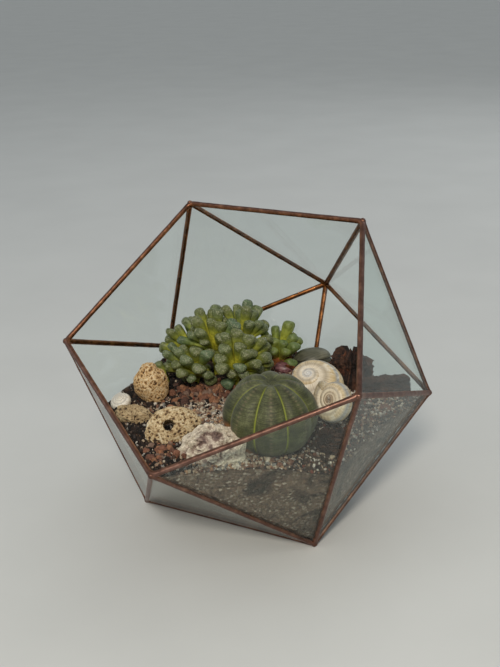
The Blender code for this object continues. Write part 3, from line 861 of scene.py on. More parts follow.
def leafSkin(name, greenStops, blueStops):
    # plump leaf skin: yellow-green neck painted brighter than its own colour (painted light against
    # the heads' shade), grey-green tip with chalk-white granules about 1 mm apart
    material, tree, shader, where, rise, tone, chalk = startMaterial(
        name, {"Roughness": 0.48, "Subsurface Weight": 0.06,
               "Subsurface Radius": (0.004, 0.005, 0.001)}, "rise", "tone", "chalk")
    green, blue = (addNode(tree, "ValToRGB", {"stops": stops}, {"Fac": rise})
                   for stops in (greenStops, blueStops))
    body = addNode(tree, "Mix", blending, {0: tone, 6: green, 7: blue})
    blotch = addNode(tree, "TexNoise", None, {"Vector": where, "Scale": perMm(2.4), "Detail": 3.0})
    shade = addNode(tree, "ValToRGB", {"stops": ((0.35, "b4b8a4"), (0.62, "ffffff"))},
                    {"Fac": blotch})
    worn = addNode(tree, "Mix", darkening, {0: 0.8, 6: body, 7: shade})
    specks = addNode(tree, "TexVoronoi", None, {"Vector": where, "Scale": perMm(1.0)})
    dots = addNode(tree, "ValToRGB", {"stops": ((0.18, "dcdcdc"), (0.38, "000000"))},
                   {"Fac": specks})
    dusted = addNode(tree, "Math", {"operation": "MULTIPLY"}, {0: dots, 1: chalk})
    speckled = addNode(tree, "Mix", blending, {0: dusted, 6: worn, 7: hexColour("bdbd9e")})
    finishSurface(tree, shader, speckled, dusted, 0.6, 0.3)
    return material


clumpSkin = leafSkin(
    "chalky succulent leaf skin",
    # neck to tip: the bright neck stops are partly painted light, lifting necks that the heads shade
    ((0.10, "aca834"), (0.45, "dcd954"), (0.68, "aab04a"), (0.86, "6f7842"), (1.0, "666d42")),
    ((0.10, "959e46"), (0.42, "b0be60"), (0.66, "7c9054"), (0.86, "5a704f"), (1.0, "5b7054")))
sideSkin = leafSkin(
    "smooth green succulent leaf skin",
    # neck to tip: the bright neck stops are partly painted light here too
    ((0.10, "aaa632"), (0.42, "d8d84a"), (0.70, "a3aa44"), (1.0, "6f7d40")),
    ((0.10, "989a38"), (0.42, "c2c84c"), (0.70, "86964a"), (1.0, "5f7442")))


def emptyStore():
    return {key: [] for key in ("verts", "faces", "rise", "chalk", "tone")}


def growLeaf(base, tipPoint, width, chalky, tone, draw, store):
    # one club-shaped leaf: a slim neck that swells to a blunt, slightly three-cornered tip
    s = leafSettings
    span = tipPoint - base
    along = span.normalized()
    sideways = along.cross(Vector((0.13, 0.31, 0.94))).normalized()
    face = along.cross(sideways).normalized()
    bow = Vector((0, 0, 1)) - along * along.z
    bow *= -0.16 * span.length
    flat = draw.uniform(0.74, 0.92)
    spin = draw.uniform(-0.35, 0.35)
    blunt = draw.uniform(2.2, 3.2)
    stations = [(s["capStart"] * i / s["bodyRings"], None) for i in range(s["bodyRings"])]
    stations += [(None, math.pi / 2 * i / s["capRings"]) for i in range(s["capRings"])]
    start = len(store["verts"])
    for share, cap in stations:
        if cap is None:
            radius = between(s["neck"], s["tip"] * width, smoothStep(0.25, 0.88, share) ** 1.1)
            at = share
        else:
            radius = s["tip"] * width * math.cos(cap) ** (2 / blunt)
            at = s["capStart"] + (1 - s["capStart"]) * math.sin(cap) ** (2 / blunt)
        centre = base + span * at + bow * (at * at - at)
        chalk = smoothStep(0.74, 0.90, at) * chalky
        for turn in turnsOf(s["columns"]):
            corner = 1 + 0.09 * math.cos(3 * turn + 1.57) * smoothStep(0.5, 0.9, at)
            offset = sideways * math.cos(turn + spin) * radius * corner * 1.08
            offset += face * math.sin(turn + spin) * radius * corner * flat
            point = centre + offset
            if chalk > 0:
                away = noise.voronoi(point / s["granule"])[0][0]
                out = (offset.normalized() + along * smoothStep(0.86, 1.0, at)).normalized()
                point += out * (s["granuleHeight"] * chalk * max(0.0, 1 - away / 0.55))
            store["verts"].append(point)
            store["rise"].append(at)
            store["chalk"].append(chalk)
            store["tone"].append(tone)
    for key, pair in (("verts", [base, base + span]), ("rise", [0.0, 1.0]),
                      ("chalk", [0.0, chalky]), ("tone", [tone, tone])):
        store[key] += pair
    store["faces"] += loftFaces(len(stations), s["columns"], start)


def leafIsFree(tipPoint, own, tips):
    # inside the glass, over the soil, clear of the other tips and things, and nearest its own head
    s = leafSettings
    if roomInside(tipPoint) < s["toGlass"]:
        return False
    if tipPoint.z < surfaceHeight(tipPoint.x, tipPoint.y) + s["overSoil"]:
        return False
    if any((tipPoint - other).length < s["spacing"] for other in tips):
        return False
    if any((tipPoint - centre).length < reach for centre, reach in keepOut):
        return False
    ownAway = (tipPoint - Vector(headSettings[own][0])).length
    return all((tipPoint - Vector(middle)).length >= ownAway - 0.0045
               for name, (middle, *_) in headSettings.items() if name != own)


def addLeaves(name, store, replaced, skin):
    verts, faces = store.pop("verts"), store.pop("faces")
    turnedRight(addPiece(name, verts, faces, skin, replaced, store))


def makeClump():
    draw = random.Random(21)
    tips = []
    for name, (middle, lean, tries, lowest, longer, wider, chalky) in headSettings.items():
        middle = Vector(middle)
        tilt = turnedBy((-lean[0], lean[1], 0))
        store = emptyStore()
        for i in range(tries):
            polar = math.acos(1 - (1 - lowest) * (i + 0.4) / tries)
            turn = i * goldenTurn + draw.uniform(-0.2, 0.2)
            direction = tilt @ Vector((math.sin(polar) * math.cos(turn),
                                       math.sin(polar) * math.sin(turn), math.cos(polar)))
            length = leafSettings["length"] * longer * draw.uniform(0.72, 1.10)
            tipPoint = middle + direction * length
            tone = draw.random() ** 3
            width = wider * draw.uniform(0.80, 1.10)
            if not leafIsFree(tipPoint, name, tips):
                continue
            tips.append(tipPoint)
            base = middle + direction * 0.003 - Vector((0, 0, 0.006))
            growLeaf(base, tipPoint, width, chalky, tone, draw, store)
        foot = Vector((middle.x, middle.y, surfaceHeight(middle.x, middle.y) - 0.004))
        growLeaf(foot, middle - Vector((0, 0, 0.002)), 1.0, 0.0, 0.0, draw, store)  # the stem
        skin, slot = clumpSkin, "leaf_skin"
        if name == "side_clump":
            skin, slot = sideSkin, "side_leaf_skin"
        addLeaves("leaves_" + name, store, [name], skin)
    print("leaves grown:", len(tips))


def makeLooseLeaves():
    draw = random.Random(22)
    store = emptyStore()
    for base, tipPoint, width, chalky, tone in lowLeaves:
        growLeaf(Vector(base), Vector(tipPoint), width, chalky, tone, draw, store)
    addLeaves("loose_leaves", store, (), clumpSkin)


makeClump()
makeLooseLeaves()


# weathered stones

stoneSettings = {
    # half sizes, turn in degrees, pits and the share of them that open, tones from pit to crest
    "upright_stone": {
        "half": (0.0122, 0.0108, 0.0158), "turn": (0, -8, 20), "seed": 3, "bulge": 0.10,
        "pitSize": 0.0020, "pitDepth": 0.0010, "pitShare": 0.70, "finePits": 0.0013,
        "tones": ((0.0, "432e1c"), (0.30, "a07c4e"), (0.55, "cba877"), (0.80, "dfc9a2"),
                  (1.0, "e6d7b8")),
    },
    "flat_pitted_stone": {
        "half": (0.0136, 0.0092, 0.0062), "turn": (10, 8, 15), "seed": 8, "bulge": 0.14,
        "pitSize": 0.0024, "pitDepth": 0.0009, "pitShare": 0.62, "finePits": 0.0013,
        "tones": ((0.0, "3a2b1e"), (0.30, "866f50"), (0.55, "aa9470"), (0.80, "c2ae8a"),
                  (1.0, "d4c6a8")),
    },
    "holed_stone": {
        "half": (0.0205, 0.0080, 0.0132), "turn": (-34, -12, 38), "seed": 5, "bulge": 0.11,
        "pitSize": 0.0021, "pitDepth": 0.0013, "pitShare": 0.85, "finePits": 0.0013,
        "tones": ((0.0, "2e2118"), (0.25, "7a6144"), (0.46, "af966e"), (0.68, "cfbc96"),
                  (0.92, "e2d7bc")),
        "hole": (-0.20, 0.12, 0.0033),  # place as shares of the half sizes, radius
    },
}


def weatheredLimestone(name, tones):
    # sea-worn limestone: chalky and matt, brown in every pit, lighter on the rubbed high places
    material, tree, shader, where, high = startMaterial(name, {"Roughness": 0.88}, "high")
    stain = addNode(tree, "TexNoise", None,
                    {"Vector": where, "Scale": perMm(6), "Detail": 6.0, "Roughness": 0.7})
    spread = addNode(tree, "MapRange", None, {"Value": stain, "From Min": 0.3, "From Max": 0.7,
                                              "To Min": -0.22, "To Max": 0.22})
    level = addNode(tree, "Math", {"operation": "ADD", "use_clamp": True}, {0: high, 1: spread})
    body = addNode(tree, "ValToRGB", {"stops": tones}, {"Fac": level})
    grain = {"mm": 0.8, "rough": 0.7, "stops": ((0.36, "86796a"), (0.56, "ffffff")), "amount": 0.6,
             "strength": 0.6, "depthMm": 0.3}
    finishGrained(tree, shader, where, body, grain)
    return material


def drilled(mesh, hole, half):
    # a natural hole right through, as a slightly crooked tube taken away
    sides, rings = 40, 26
    alongX, alongZ, radius = hole
    deepest = 1.6 * half[1]
    verts = []
    for ring in range(rings):
        deep = between(-deepest, deepest, ring / (rings - 1))
        for turn in turnsOf(sides):
            wide = radius * (1 + 0.10 * lumps((math.cos(turn), math.sin(turn), deep * 200), 1.0, 2))
            verts.append((alongX * half[0] + wide * math.cos(turn), deep,
                          alongZ * half[2] + wide * math.sin(turn)))
    verts += [(alongX * half[0], end, alongZ * half[2]) for end in (-deepest, deepest)]
    cutterMesh = bpy.data.meshes.new("drill")
    cutterMesh.from_pydata(verts, [], loftFaces(rings, sides))
    cutter = turnedRight(bpy.data.objects.new("drill", cutterMesh))
    stone = bpy.data.objects.new("stone blank", mesh)
    for blank in (cutter, stone):
        bpy.context.scene.collection.objects.link(blank)
    modifier = stone.modifiers.new("hole", "BOOLEAN")
    modifier.object = cutter
    modifier.operation = "DIFFERENCE"
    modifier.solver = "EXACT"
    bpy.context.view_layer.update()
    depsgraph = bpy.context.evaluated_depsgraph_get()
    result = bpy.data.meshes.new_from_object(stone.evaluated_get(depsgraph))
    for blank in (cutter, stone):
        bpy.data.objects.remove(blank)
    return result


def stoneSwell(node, direction):
    # the stone's outline: its lumps, then what is special to this one
    s = stoneSettings[node]
    swell = (1 + s["bulge"] * lumps(direction, 0.8, s["seed"])
             + 0.035 * lumps(direction, 0.28, s["seed"] + 1))
    if node == "upright_stone":
        swell *= (1 - 0.16 * smoothStep(0.35, 0.75, direction.z)
                  + 0.10 * smoothStep(0.75, 0.95, direction.z))
    if node == "holed_stone":
        swell *= 1.04 - 0.22 * smoothStep(0.0, 0.9, direction.x)
    if node == "flat_pitted_stone":
        layered = direction.y * 7 + direction.x * 2 + 2.5 * lumps(direction, 0.5, 6)
        swell *= 1 - 0.12 * abs(math.sin(layered))
    return swell


def makeStone(node):
    s = stoneSettings[node]
    half, seed = s["half"], s["seed"]
    ball = bmesh.new()
    bmesh.ops.create_icosphere(ball, subdivisions=6, radius=1)
    for vert in ball.verts:
        direction = vert.co.normalized()
        vert.co = (Vector([direction[i] * half[i] for i in range(3)])
                   * stoneSwell(node, direction))
    mesh = bpy.data.meshes.new("stone blank")
    ball.to_mesh(mesh)
    ball.free()
    if "hole" in s:
        mesh = drilled(mesh, s["hole"], half)
    mesh.update()
    points, high = [], []
    for vert in mesh.vertices:
        warped = vert.co + noise.noise_vector(vert.co / 0.0016) * 0.0006
        distances, cells = noise.voronoi(warped / s["pitSize"])
        chosen = noise.noise(cells[0] * 1.7 + Vector((seed, 0, 0))) * 0.5 + 0.5 < s["pitShare"]
        opening = 0.43 + 0.30 * noise.noise(cells[0] * 2.9 + Vector((0, seed, 0)))
        pit = max(0.0, 1 - distances[0] / opening) ** 0.5 if chosen else 0.0
        small = noise.voronoi(warped / s["finePits"] + Vector((9, 9, 9)))[0][0]
        finePit = max(0.0, 1 - small / 0.50)
        worn = 0.5 + 0.5 * lumps(vert.co, 0.0022, seed + 2)
        depth = s["pitDepth"] * pit + 0.35 * s["pitDepth"] * finePit + 0.0003 * worn
        points.append(vert.co - vert.normal * depth)
        high.append(max(0.0, 0.68 + 0.30 * (worn - 0.5) - 0.75 * pit - 0.58 * finePit))
    faces = [tuple(face.vertices) for face in mesh.polygons]
    material = weatheredLimestone("weathered limestone, " + node.replace("_", " "), s["tones"])
    addPiece("limestone_" + node, placed(points, middleOf(node), s["turn"]), faces, material,
             [node], {"high": high})
    bpy.data.meshes.remove(mesh)


for node in stoneSettings:
    makeStone(node)
print("stones set")


# snail shells

snailSettings = {
    # axis: the way the spire points; growth: how much wider a whorl gets in one turn; reach and
    # spire: how far the whorl's middle is from the axis, and how high the tip stands, as shares
    "banded_snail_shell": {
        "half": (0.0198, 0.0192, 0.0162), "shift": (-0.0006, -0.0020, -0.0042),
        "axis": (0.0, -0.62, 0.78), "twist": 40, "turns": 3.4, "growth": 2.5,
        "tube": 0.58, "reach": 0.44, "spire": 0.62, "rings": 0, "slot": "cream_shell",
        "light": ((0.0, "d6dde6"), (0.55, "d3d9e0"), (0.75, "dccbab"), (1.0, "d9c29a")),
        "bands": ((0.00, "e6dcc6"), (0.34, "d8c096"), (0.44, "8f9aa6"), (0.52, "cdb890"),
                  (0.64, "d6c198"), (0.70, "808b98"), (0.78, "cbb588"), (1.0, "e2d8c4")),
    },
    "ringed_snail_shell": {
        "half": (0.0138, 0.0138, 0.0108), "shift": (-0.0014, 0.0004, 0.0034),
        "axis": (-0.16, -0.90, 0.40), "twist": -140, "turns": 5.2, "growth": 1.62,
        "tube": 0.44, "reach": 0.56, "spire": 0.42, "rings": 13, "slot": "ringed_shell",
        "light": ((0.0, "33251c"), (0.34, "6f5336"), (0.62, "a98b62"), (0.85, "d0bd98"),
                  (1.0, "dccfb2")),
        "bands": ((0.00, "d9c9a8"), (0.22, "b89a6c"), (0.34, "8a8f96"), (0.46, "cdb78e"),
                  (0.62, "9aa0a6"), (0.78, "d6c39c"), (1.0, "e2d8c2")),
    },
    "white_snail_shell": {
        "half": (0.0080, 0.0080, 0.0064), "shift": (0, 0, 0),
        "axis": (-0.05, -0.45, 0.89), "twist": 120, "turns": 5.0, "growth": 1.66,
        "tube": 0.46, "reach": 0.56, "spire": 0.70, "rings": 0, "slot": "white_shell",
        "light": ((0.0, "b8a48c"), (0.25, "d8d2c6"), (0.60, "e6e2d8"), (1.0, "e8e5dd")),
        "bands": ((0.00, "eeebe4"), (0.40, "dcd5c8"), (0.55, "c6baa8"), (0.70, "e2ddd2"),
                  (1.0, "eeebe4")),
    },
}


def snailShell(name, settings):
    # chalky old snail shell: faint growth lines across the whorl, colour bands that run along it
    material, tree, shader, where, band, age, lines, seam = startMaterial(
        name, {"Roughness": 0.42, "Coat Weight": 0.08, "Coat Roughness": 0.3},
        "band", "age", "lines", "seam")
    early = addNode(tree, "ValToRGB", {"stops": settings["light"]}, {"Fac": age})
    banded = addNode(tree, "ValToRGB", {"stops": settings["bands"]}, {"Fac": band})
    grown = addNode(tree, "MapRange", None, {"Value": age, "From Min": 0.45, "From Max": 0.75,
                                             "To Min": 0.25, "To Max": 0.95})
    body = addNode(tree, "Mix", blending, {0: grown, 6: early, 7: banded})
    across = addNode(tree, "CombineXYZ", None, {"X": lines, "Y": band})
    streak = addNode(tree, "TexNoise", None, {"Vector": across, "Scale": 3.0, "Detail": 3.0})
    shade = addNode(tree, "ValToRGB", {"stops": ((0.36, "b9a88c"), (0.56, "ffffff"))},
                    {"Fac": streak})
    lined = addNode(tree, "Mix", darkening, {0: 0.6, 6: body, 7: shade})
    patch = addNode(tree, "TexNoise", None,
                    {"Vector": where, "Scale": perMm(5), "Detail": 5.0, "Roughness": 0.7})
    chalky = addNode(tree, "ValToRGB", {"stops": ((0.52, "000000"), (0.70, "ffffff"))},
                     {"Fac": patch})
    bleached = addNode(tree, "Mix", blending, {0: chalky, 6: lined, 7: hexColour("e2ddd0")})
    suture = addNode(tree, "Mix", blending, {0: seam, 6: bleached, 7: hexColour("6f665c")})
    finishSurface(tree, shader, suture, streak, 0.35, 0.2)
    return material


def makeSnail(node):
    s = snailSettings[node]
    columns, perTurn = 56, 72
    total = s["turns"] * 2 * math.pi
    rate = math.log(s["growth"]) / fullTurn
    count = int(s["turns"] * perTurn)
    points = []
    kept = {key: [] for key in ("band", "age", "lines", "seam")}

    def addRing(turn, size, inner):
        # one ring of the tube; the inner ones line the mouth
        grown = math.exp(rate * (turn - total))
        angle = -turn + math.radians(s["twist"])
        outwards = Vector((math.cos(angle), math.sin(angle), 0))
        centre = outwards * s["reach"] * grown + Vector((0, 0, s["spire"] * (1 - grown)))
        wave = 0.003 * math.sin(turn * 23) + 0.002 * math.sin(turn * 61)
        for around in turnsOf(columns):
            ringed = s["rings"] and not inner
            groove = max(0.0, math.cos(s["rings"] * around)) ** 3 if ringed else 0.0
            wide = s["tube"] * grown * size * (1 - 0.016 * groove + wave * (not inner))
            x, y = Vector((math.cos(around), math.sin(around)))
            points.append(centre + outwards * x * wide + Vector((0, 0, y * wide * 0.92)))
            upward = (math.degrees(around) % 360) / 360
            share = ((upward + 0.25) % 1.0) / 0.5  # 0 under the whorl, 1 at the suture
            suture = (0.5 * math.exp(-((share - 0.93) / 0.05) ** 2)
                      * smoothStep(0.05, 0.2, turn / total))
            kept["band"].append(min(1.0, max(0.0, share)) if not inner else 0.0)
            kept["age"].append(turn / total)
            kept["lines"].append(turn * 5.0)
            kept["seam"].append(0.0 if inner else max(suture, 0.5 * groove))

    for i in range(count):
        addRing(total * i / (count - 1), 1.0, False)
    for i, size in enumerate((1.03, 0.97, 0.90, 0.86)):  # the lip, turned in
        addRing(total - 0.02 * i * i, size, True)
    for i in range(10):
        addRing(total - 0.22 - 0.11 * i, 0.84 - 0.01 * i, True)
    rings = len(points) // columns
    points += [Vector((0, 0, s["spire"])),
               sum((points[-1 - k] for k in range(columns)), Vector()) / columns]
    for key, last in (("band", 0.0), ("age", 1.0), ("lines", 0.0), ("seam", 0.0)):
        kept[key] += [kept[key][0], last]
    low, high = (Vector([pick(p[i] for p in points) for i in range(3)]) for pick in (min, max))
    fit = [2 * s["half"][i] / (high[i] - low[i]) for i in range(3)]
    scale = Vector([between(min(fit), fit[i], 0.7) for i in range(3)])
    points = [Vector([(p[i] - (low[i] + high[i]) / 2) * scale[i] for i in range(3)])
              for p in points]
    middle = middleOf(node) + Vector(s["shift"])
    upright = Vector(s["axis"]).to_track_quat("Z", "Y")
    material = snailShell("chalky shell, " + node.replace("_", " "), s)
    turnedRight(addPiece("shell_" + node, [middle + upright @ p for p in points],
                         loftFaces(rings, columns), material, [node], kept))


for node in snailSettings:
    makeSnail(node)
print("snail shells wound")


# oyster and clam

oysterSettings = {
    "node": "oyster_shell", "half": (0.0196, 0.0184, 0.0040), "shift": (0.0004, -0.0010, -0.0008),
    "turn": (50, -12, 26), "layers": 7, "step": 0.0011, "bowl": 0.0042, "ruffle": 0.0021,
}
clamSettings = {
    "node": "grey_clam", "half": (0.0140, 0.0108, 0.0078), "turn": (-12, -6, 25),
    "growthLine": 0.0011,
}


def oysterShell():
    # weathered oyster: chalk white frill edges over grey and purple brown blotches; the pale edges
    # are partly painted highlight, the darker inner parts partly painted shadow between the frills
    material, tree, shader, where, edge = startMaterial(
        "weathered oyster shell", {"Roughness": 0.55}, "edge")
    blotch = addNode(tree, "TexNoise", None, {"Vector": where, "Scale": perMm(5.5), "Detail": 5.0,
                                              "Roughness": 0.65, "Distortion": 0.8})
    # blotched body, its own purple brown and grey, kept dark in part as painted shadow between the
    # frills
    body = addNode(tree, "ValToRGB", {"stops": (
        (0.34, "43302c"), (0.45, "7d665b"), (0.53, "ab9c8d"), (0.63, "d3c8b6"), (0.78, "e6dfd0"))},
        {"Fac": blotch})
    # pale edges: chalk on the frills and painted highlight
    pale = addNode(tree, "Mix", blending, {0: edge, 6: body, 7: hexColour("e6ddc8")})
    grain = {"mm": 1.0, "stops": ((0.36, "8f8478"), (0.58, "ffffff")), "amount": 0.55,
             "strength": 0.5, "depthMm": 0.3}
    finishGrained(tree, shader, where, pale, grain)
    return material


def makeOyster():
    # frilled layers, one on another, each smaller and a little further up
    s = oysterSettings
    halfX, halfY, _ = s["half"]
    columns, rings = 144, 22
    draw = random.Random(31)
    points, faces, edge = [], [], []
    for layer in range(s["layers"]):
        share = layer / s["layers"]
        size = 1 - 0.62 * share
        shift = Vector((0.10 * halfX, 0.22 * halfY, 0)) * share
        phase = draw.uniform(0, 6.28)
        start = len(points)
        thick = between(0.0007, 0.0004, share)
        stations = [(ring, 1) for ring in range(1, rings + 1)]
        stations += [(ring, -1) for ring in range(rings, 0, -1)]
        for ring, side in stations:
            out = ring / rings
            for turn in turnsOf(columns):
                outline = (1 + 0.07 * math.cos(2 * turn + 0.6) + 0.06 * math.sin(3 * turn + layer)
                           + 0.05 * math.sin(11 * turn + phase))
                x = halfX * size * outline * out * math.cos(turn)
                y = halfY * size * outline * out * math.sin(turn)
                ruffle = s["ruffle"] * out ** 3 * (
                    math.sin(7 * turn + phase) + 0.6 * math.sin(13 * turn + 2 * phase))
                ruffle += 0.0007 * lumps((x, y, 0), 0.0030, layer) * out
                bowl = -s["bowl"] * (out * size) ** 2 + 0.0004 + s["step"] * layer
                z = bowl + ruffle + side * thick * (1 - 0.6 * out ** 4)
                points.append(shift + Vector((x, y, z)))
                # outer part of each layer made pale (chalk and painted highlight); inner part left
                # darker (painted shadow between the frills)
                edge.append(smoothStep(0.74, 1.0, out) * 0.85)
        top = shift + Vector((0, 0, 0.0004 + s["step"] * layer))
        points += [top + Vector((0, 0, thick)), top - Vector((0, 0, thick))]
        edge += [0.0, 0.0]
        faces += loftFaces(2 * rings, columns, start)
    middle = middleOf(s["node"]) + Vector(s["shift"])
    turnedRight(addPiece("oyster_frills", placed(points, middle, s["turn"]), faces, oysterShell(),
                         [s["node"]], {"edge": edge}))


def clamShell():
    # grey clam: matt with fine growth rings, darker between the rings and along the closed lips; its
    # grey body is darkened as painted shade
    material, tree, shader, where, ring, lips = startMaterial(
        "matt grey clam shell", {"Roughness": 0.5}, "ring", "lips")
    cloud = addNode(tree, "TexNoise", None, {"Vector": where, "Scale": perMm(8), "Detail": 5.0})
    # body grey painted darker than the shell's own colour: painted shade for the shadow it lies in
    body = addNode(tree, "ValToRGB",
                   {"stops": ((0.34, "44453a"), (0.5, "5a5a4a"), (0.68, "6e6c5b"))}, {"Fac": cloud})
    lined = addNode(tree, "Mix", darkening, {0: ring, 6: body, 7: hexColour("a39e8e")})
    dark = addNode(tree, "Mix", blending, {0: lips, 6: lined, 7: hexColour("26231d")})
    finishSurface(tree, shader, dark, cloud, 0.3, 0.3)
    return material


def makeClam():
    s = clamSettings
    columns, rings = 150, 120
    half = s["half"]
    beak = Vector((-0.25 * half[0], 0.86 * half[1], 0.35 * half[2]))
    points, ring, lips = [], [], []
    for i in range(rings):
        polar = math.pi * (i + 1) / (rings + 1)
        up = math.cos(polar)
        wide = math.sin(polar) ** 0.8
        for turn in turnsOf(columns):
            point = Vector((half[0] * wide * math.cos(turn), half[1] * wide * math.sin(turn),
                            half[2] * up))
            point.y += 0.20 * half[1] * abs(up) ** 1.5 * (1 if math.sin(turn) > -0.4 else 0.6)
            away = (Vector((point.x, point.y, abs(point.z))) - beak).length
            line = 0.5 + 0.5 * math.cos(fullTurn * away / s["growthLine"] + lumps(point, 0.006, 4))
            gap = math.exp(-(point.z / 0.00055) ** 2)
            points.append(point * (1 + 0.010 * (line - 0.5) - 0.035 * gap))
            ring.append(0.45 * (1 - line) ** 2)
            lips.append(gap)
    points += [Vector((0, 0.2 * half[1], end)) for end in (half[2], -half[2])]
    ring += [0.0, 0.0]
    lips += [0.0, 0.0]
    turnedRight(addPiece("clam_valves", placed(points, middleOf(s["node"]), s["turn"]),
                         loftFaces(rings, columns), clamShell(), [s["node"]],
                         {"ring": ring, "lips": lips}))


makeOyster()
makeClam()
print("oyster and clam laid")


# bark

barkSettings = {
    # grain: the axis that the fibres run along; ragged: how torn the ends are; warm: share of rust
    "bark_tall": {"half": (0.0140, 0.0060, 0.0180), "turn": (-8, 5, 24), "grain": 2,
                  "ragged": 0.62, "seed": 2, "warm": 0.6},
    "bark_log": {"half": (0.0168, 0.0070, 0.0068), "turn": (0, -4, 22), "grain": 0,
                 "ragged": 0.50, "seed": 4, "warm": 0.35},
    "bark_block": {"half": (0.0090, 0.0085, 0.0085), "turn": (10, 6, 20), "grain": 0,
                   "ragged": 0.08, "seed": 6, "warm": 0.1},
}


def barkMaterial(name, warm):
    # dead pine bark: dark brown layers, rust where a layer split away, grey where it weathered
    material, tree, shader, where, ridge = startMaterial(name, {"Roughness": 0.85}, "ridge")
    patch = addNode(tree, "TexNoise", None, {"Vector": where, "Scale": perMm(9), "Detail": 5.0,
                                             "Roughness": 0.7, "Distortion": 0.7})
    body = addNode(tree, "ValToRGB", {"stops": (
        (0.10, "0c0604"), (0.45, "21120b"), (0.75, "361e13"), (1.0, "4b3021"))}, {"Fac": ridge})
    rust = addNode(tree, "ValToRGB", {"stops": ((0.52, "000000"), (0.64, "ffffff"))},
                   {"Fac": patch})
    rusty = addNode(tree, "Math", {"operation": "MULTIPLY"}, {0: rust, 1: warm})
    warmed = addNode(tree, "Mix", blending, {0: rusty, 6: body, 7: hexColour("6e391b")})
    fibre = {"mm": 1.1, "stops": ((0.38, "6f6862"), (0.60, "ffffff")), "amount": 0.75,
             "strength": 0.7, "depthMm": 0.5}
    finishGrained(tree, shader, where, warmed, fibre)
    return material


def makeBark(node):
    s = barkSettings[node]
    columns, rings = 168, 110
    half, seed, lengthAxis = s["half"], s["seed"], s["grain"]
    others = [i for i in range(3) if i != lengthAxis]
    points, ridge = [], []
    for i in range(rings):
        share = between(-1, 1, i / (rings - 1))
        for turn in turnsOf(columns):
            x, y = Vector((math.cos(turn), math.sin(turn)))
            square = (abs(x) ** 3 + abs(y) ** 3) ** (-1 / 3)
            ragged = (lumps((x * 2.2, y * 0.4, seed), 0.6, 1)
                      + 0.5 * lumps((x * 6, y * 3, seed), 0.6, 3))
            torn = smoothStep(0.1, 1.0, abs(share) if share > 0 or lengthAxis == 0 else 0.0)
            along = share * (1 - s["ragged"] * max(0.0, 0.35 + 1.2 * ragged) * torn)
            ends = 1 - 0.30 * smoothStep(0.70, 1.0, abs(share) + 0.2 * ragged)
            plates = abs(lumps((x * 3.2, y * 3.2, share * 0.55), 0.55, seed + 1))
            fibre = lumps((x * 9, y * 9, share * 0.8), 0.5, seed + 2)
            broken = (lumps((x * 1.3, y * 1.3, share * 1.5), 0.55, seed + 5)
                      + 0.5 * lumps((x * 3, y * 3, share * 4), 0.5, seed + 7))
            wide = square * ends * (0.93 - 0.24 * smoothStep(0.0, 0.30, 0.30 - plates)
                                    + 0.05 * fibre + 0.30 * broken)
            point = Vector((0, 0, 0))
            point[lengthAxis] = along * half[lengthAxis]
            point[others[0]] = x * wide * half[others[0]]
            point[others[1]] = (y * wide * half[others[1]]
                                * (1 + 0.16 * lumps((share * 2, x, 0), 0.9, seed)))
            points.append(point)
            ridge.append(min(1.0, max(0.0, 0.25 + 1.9 * plates + 0.4 * fibre)))
    for end in (0, rings - 1):
        points.append(sum(points[end * columns:(end + 1) * columns], Vector()) / columns)
        ridge.append(0.2)
    material = barkMaterial("dead pine bark, " + node.replace("_", " "), s["warm"])
    turnedRight(addPiece("pine_" + node, placed(points, middleOf(node), s["turn"]),
                         loftFaces(rings, columns), material, [node], {"ridge": ridge}))


for node in barkSettings:
    makeBark(node)
print("bark laid")


# small loose things: a purple-brown pebble and dried leaf flakes at the foot of the clump

pebbleSettings = {
    "place": (-0.0044, 0.0585, 0.0765), "half": (0.0075, 0.0052, 0.0040), "turn": (10, 5, 30),
}
flakeSettings = {
    "places": ((-0.0200, 0.0460, 0.0810), (-0.0090, 0.0420, 0.0790), (-0.0130, 0.0400, 0.0810),
               (-0.0240, 0.0600, 0.0790), (-0.0100, 0.0640, 0.0790), (0.0040, 0.0600, 0.0765)),
    "length": 0.0085, "width": 0.0034, "thickness": 0.0005, "curl": 35,
}


def pebbleStone():
    # smooth river pebble: satin, purple brown with a paler vein
    material, tree, shader, where = startMaterial("river pebble, satin", {"Roughness": 0.4})
    cloud = addNode(tree, "TexNoise", None,
                    {"Vector": where, "Scale": perMm(4), "Detail": 5.0, "Distortion": 1.2})
    body = addNode(tree, "ValToRGB",
                   {"stops": ((0.35, "4d2f33"), (0.55, "7b5357"), (0.75, "a98a88"))}, {"Fac": cloud})
    fillInputs(tree, shader, {"Base Color": body})
    return material


def dryLeaf():
    # dried leaf: papery, orange brown, mottled
    material, tree, shader, where = startMaterial("dried leaf flakes", {"Roughness": 0.7})
    cloud = addNode(tree, "TexNoise", None, {"Vector": where, "Scale": perMm(3), "Detail": 5.0})
    body = addNode(tree, "ValToRGB",
                   {"stops": ((0.35, "4a2610"), (0.52, "79431f"), (0.70, "a06a34"))}, {"Fac": cloud})
    finishSurface(tree, shader, body, cloud, 0.5, 0.4)
    return material


def makePebble():
    s = pebbleSettings
    shape, faces = ballShape(5)
    points = [Vector([p[i] * s["half"][i] for i in range(3)]) * (1 + 0.12 * lumps(p, 0.9, 3))
              for p in shape]
    addPiece("pebble", placed(points, Vector(s["place"]), s["turn"]), faces, pebbleStone(), ())


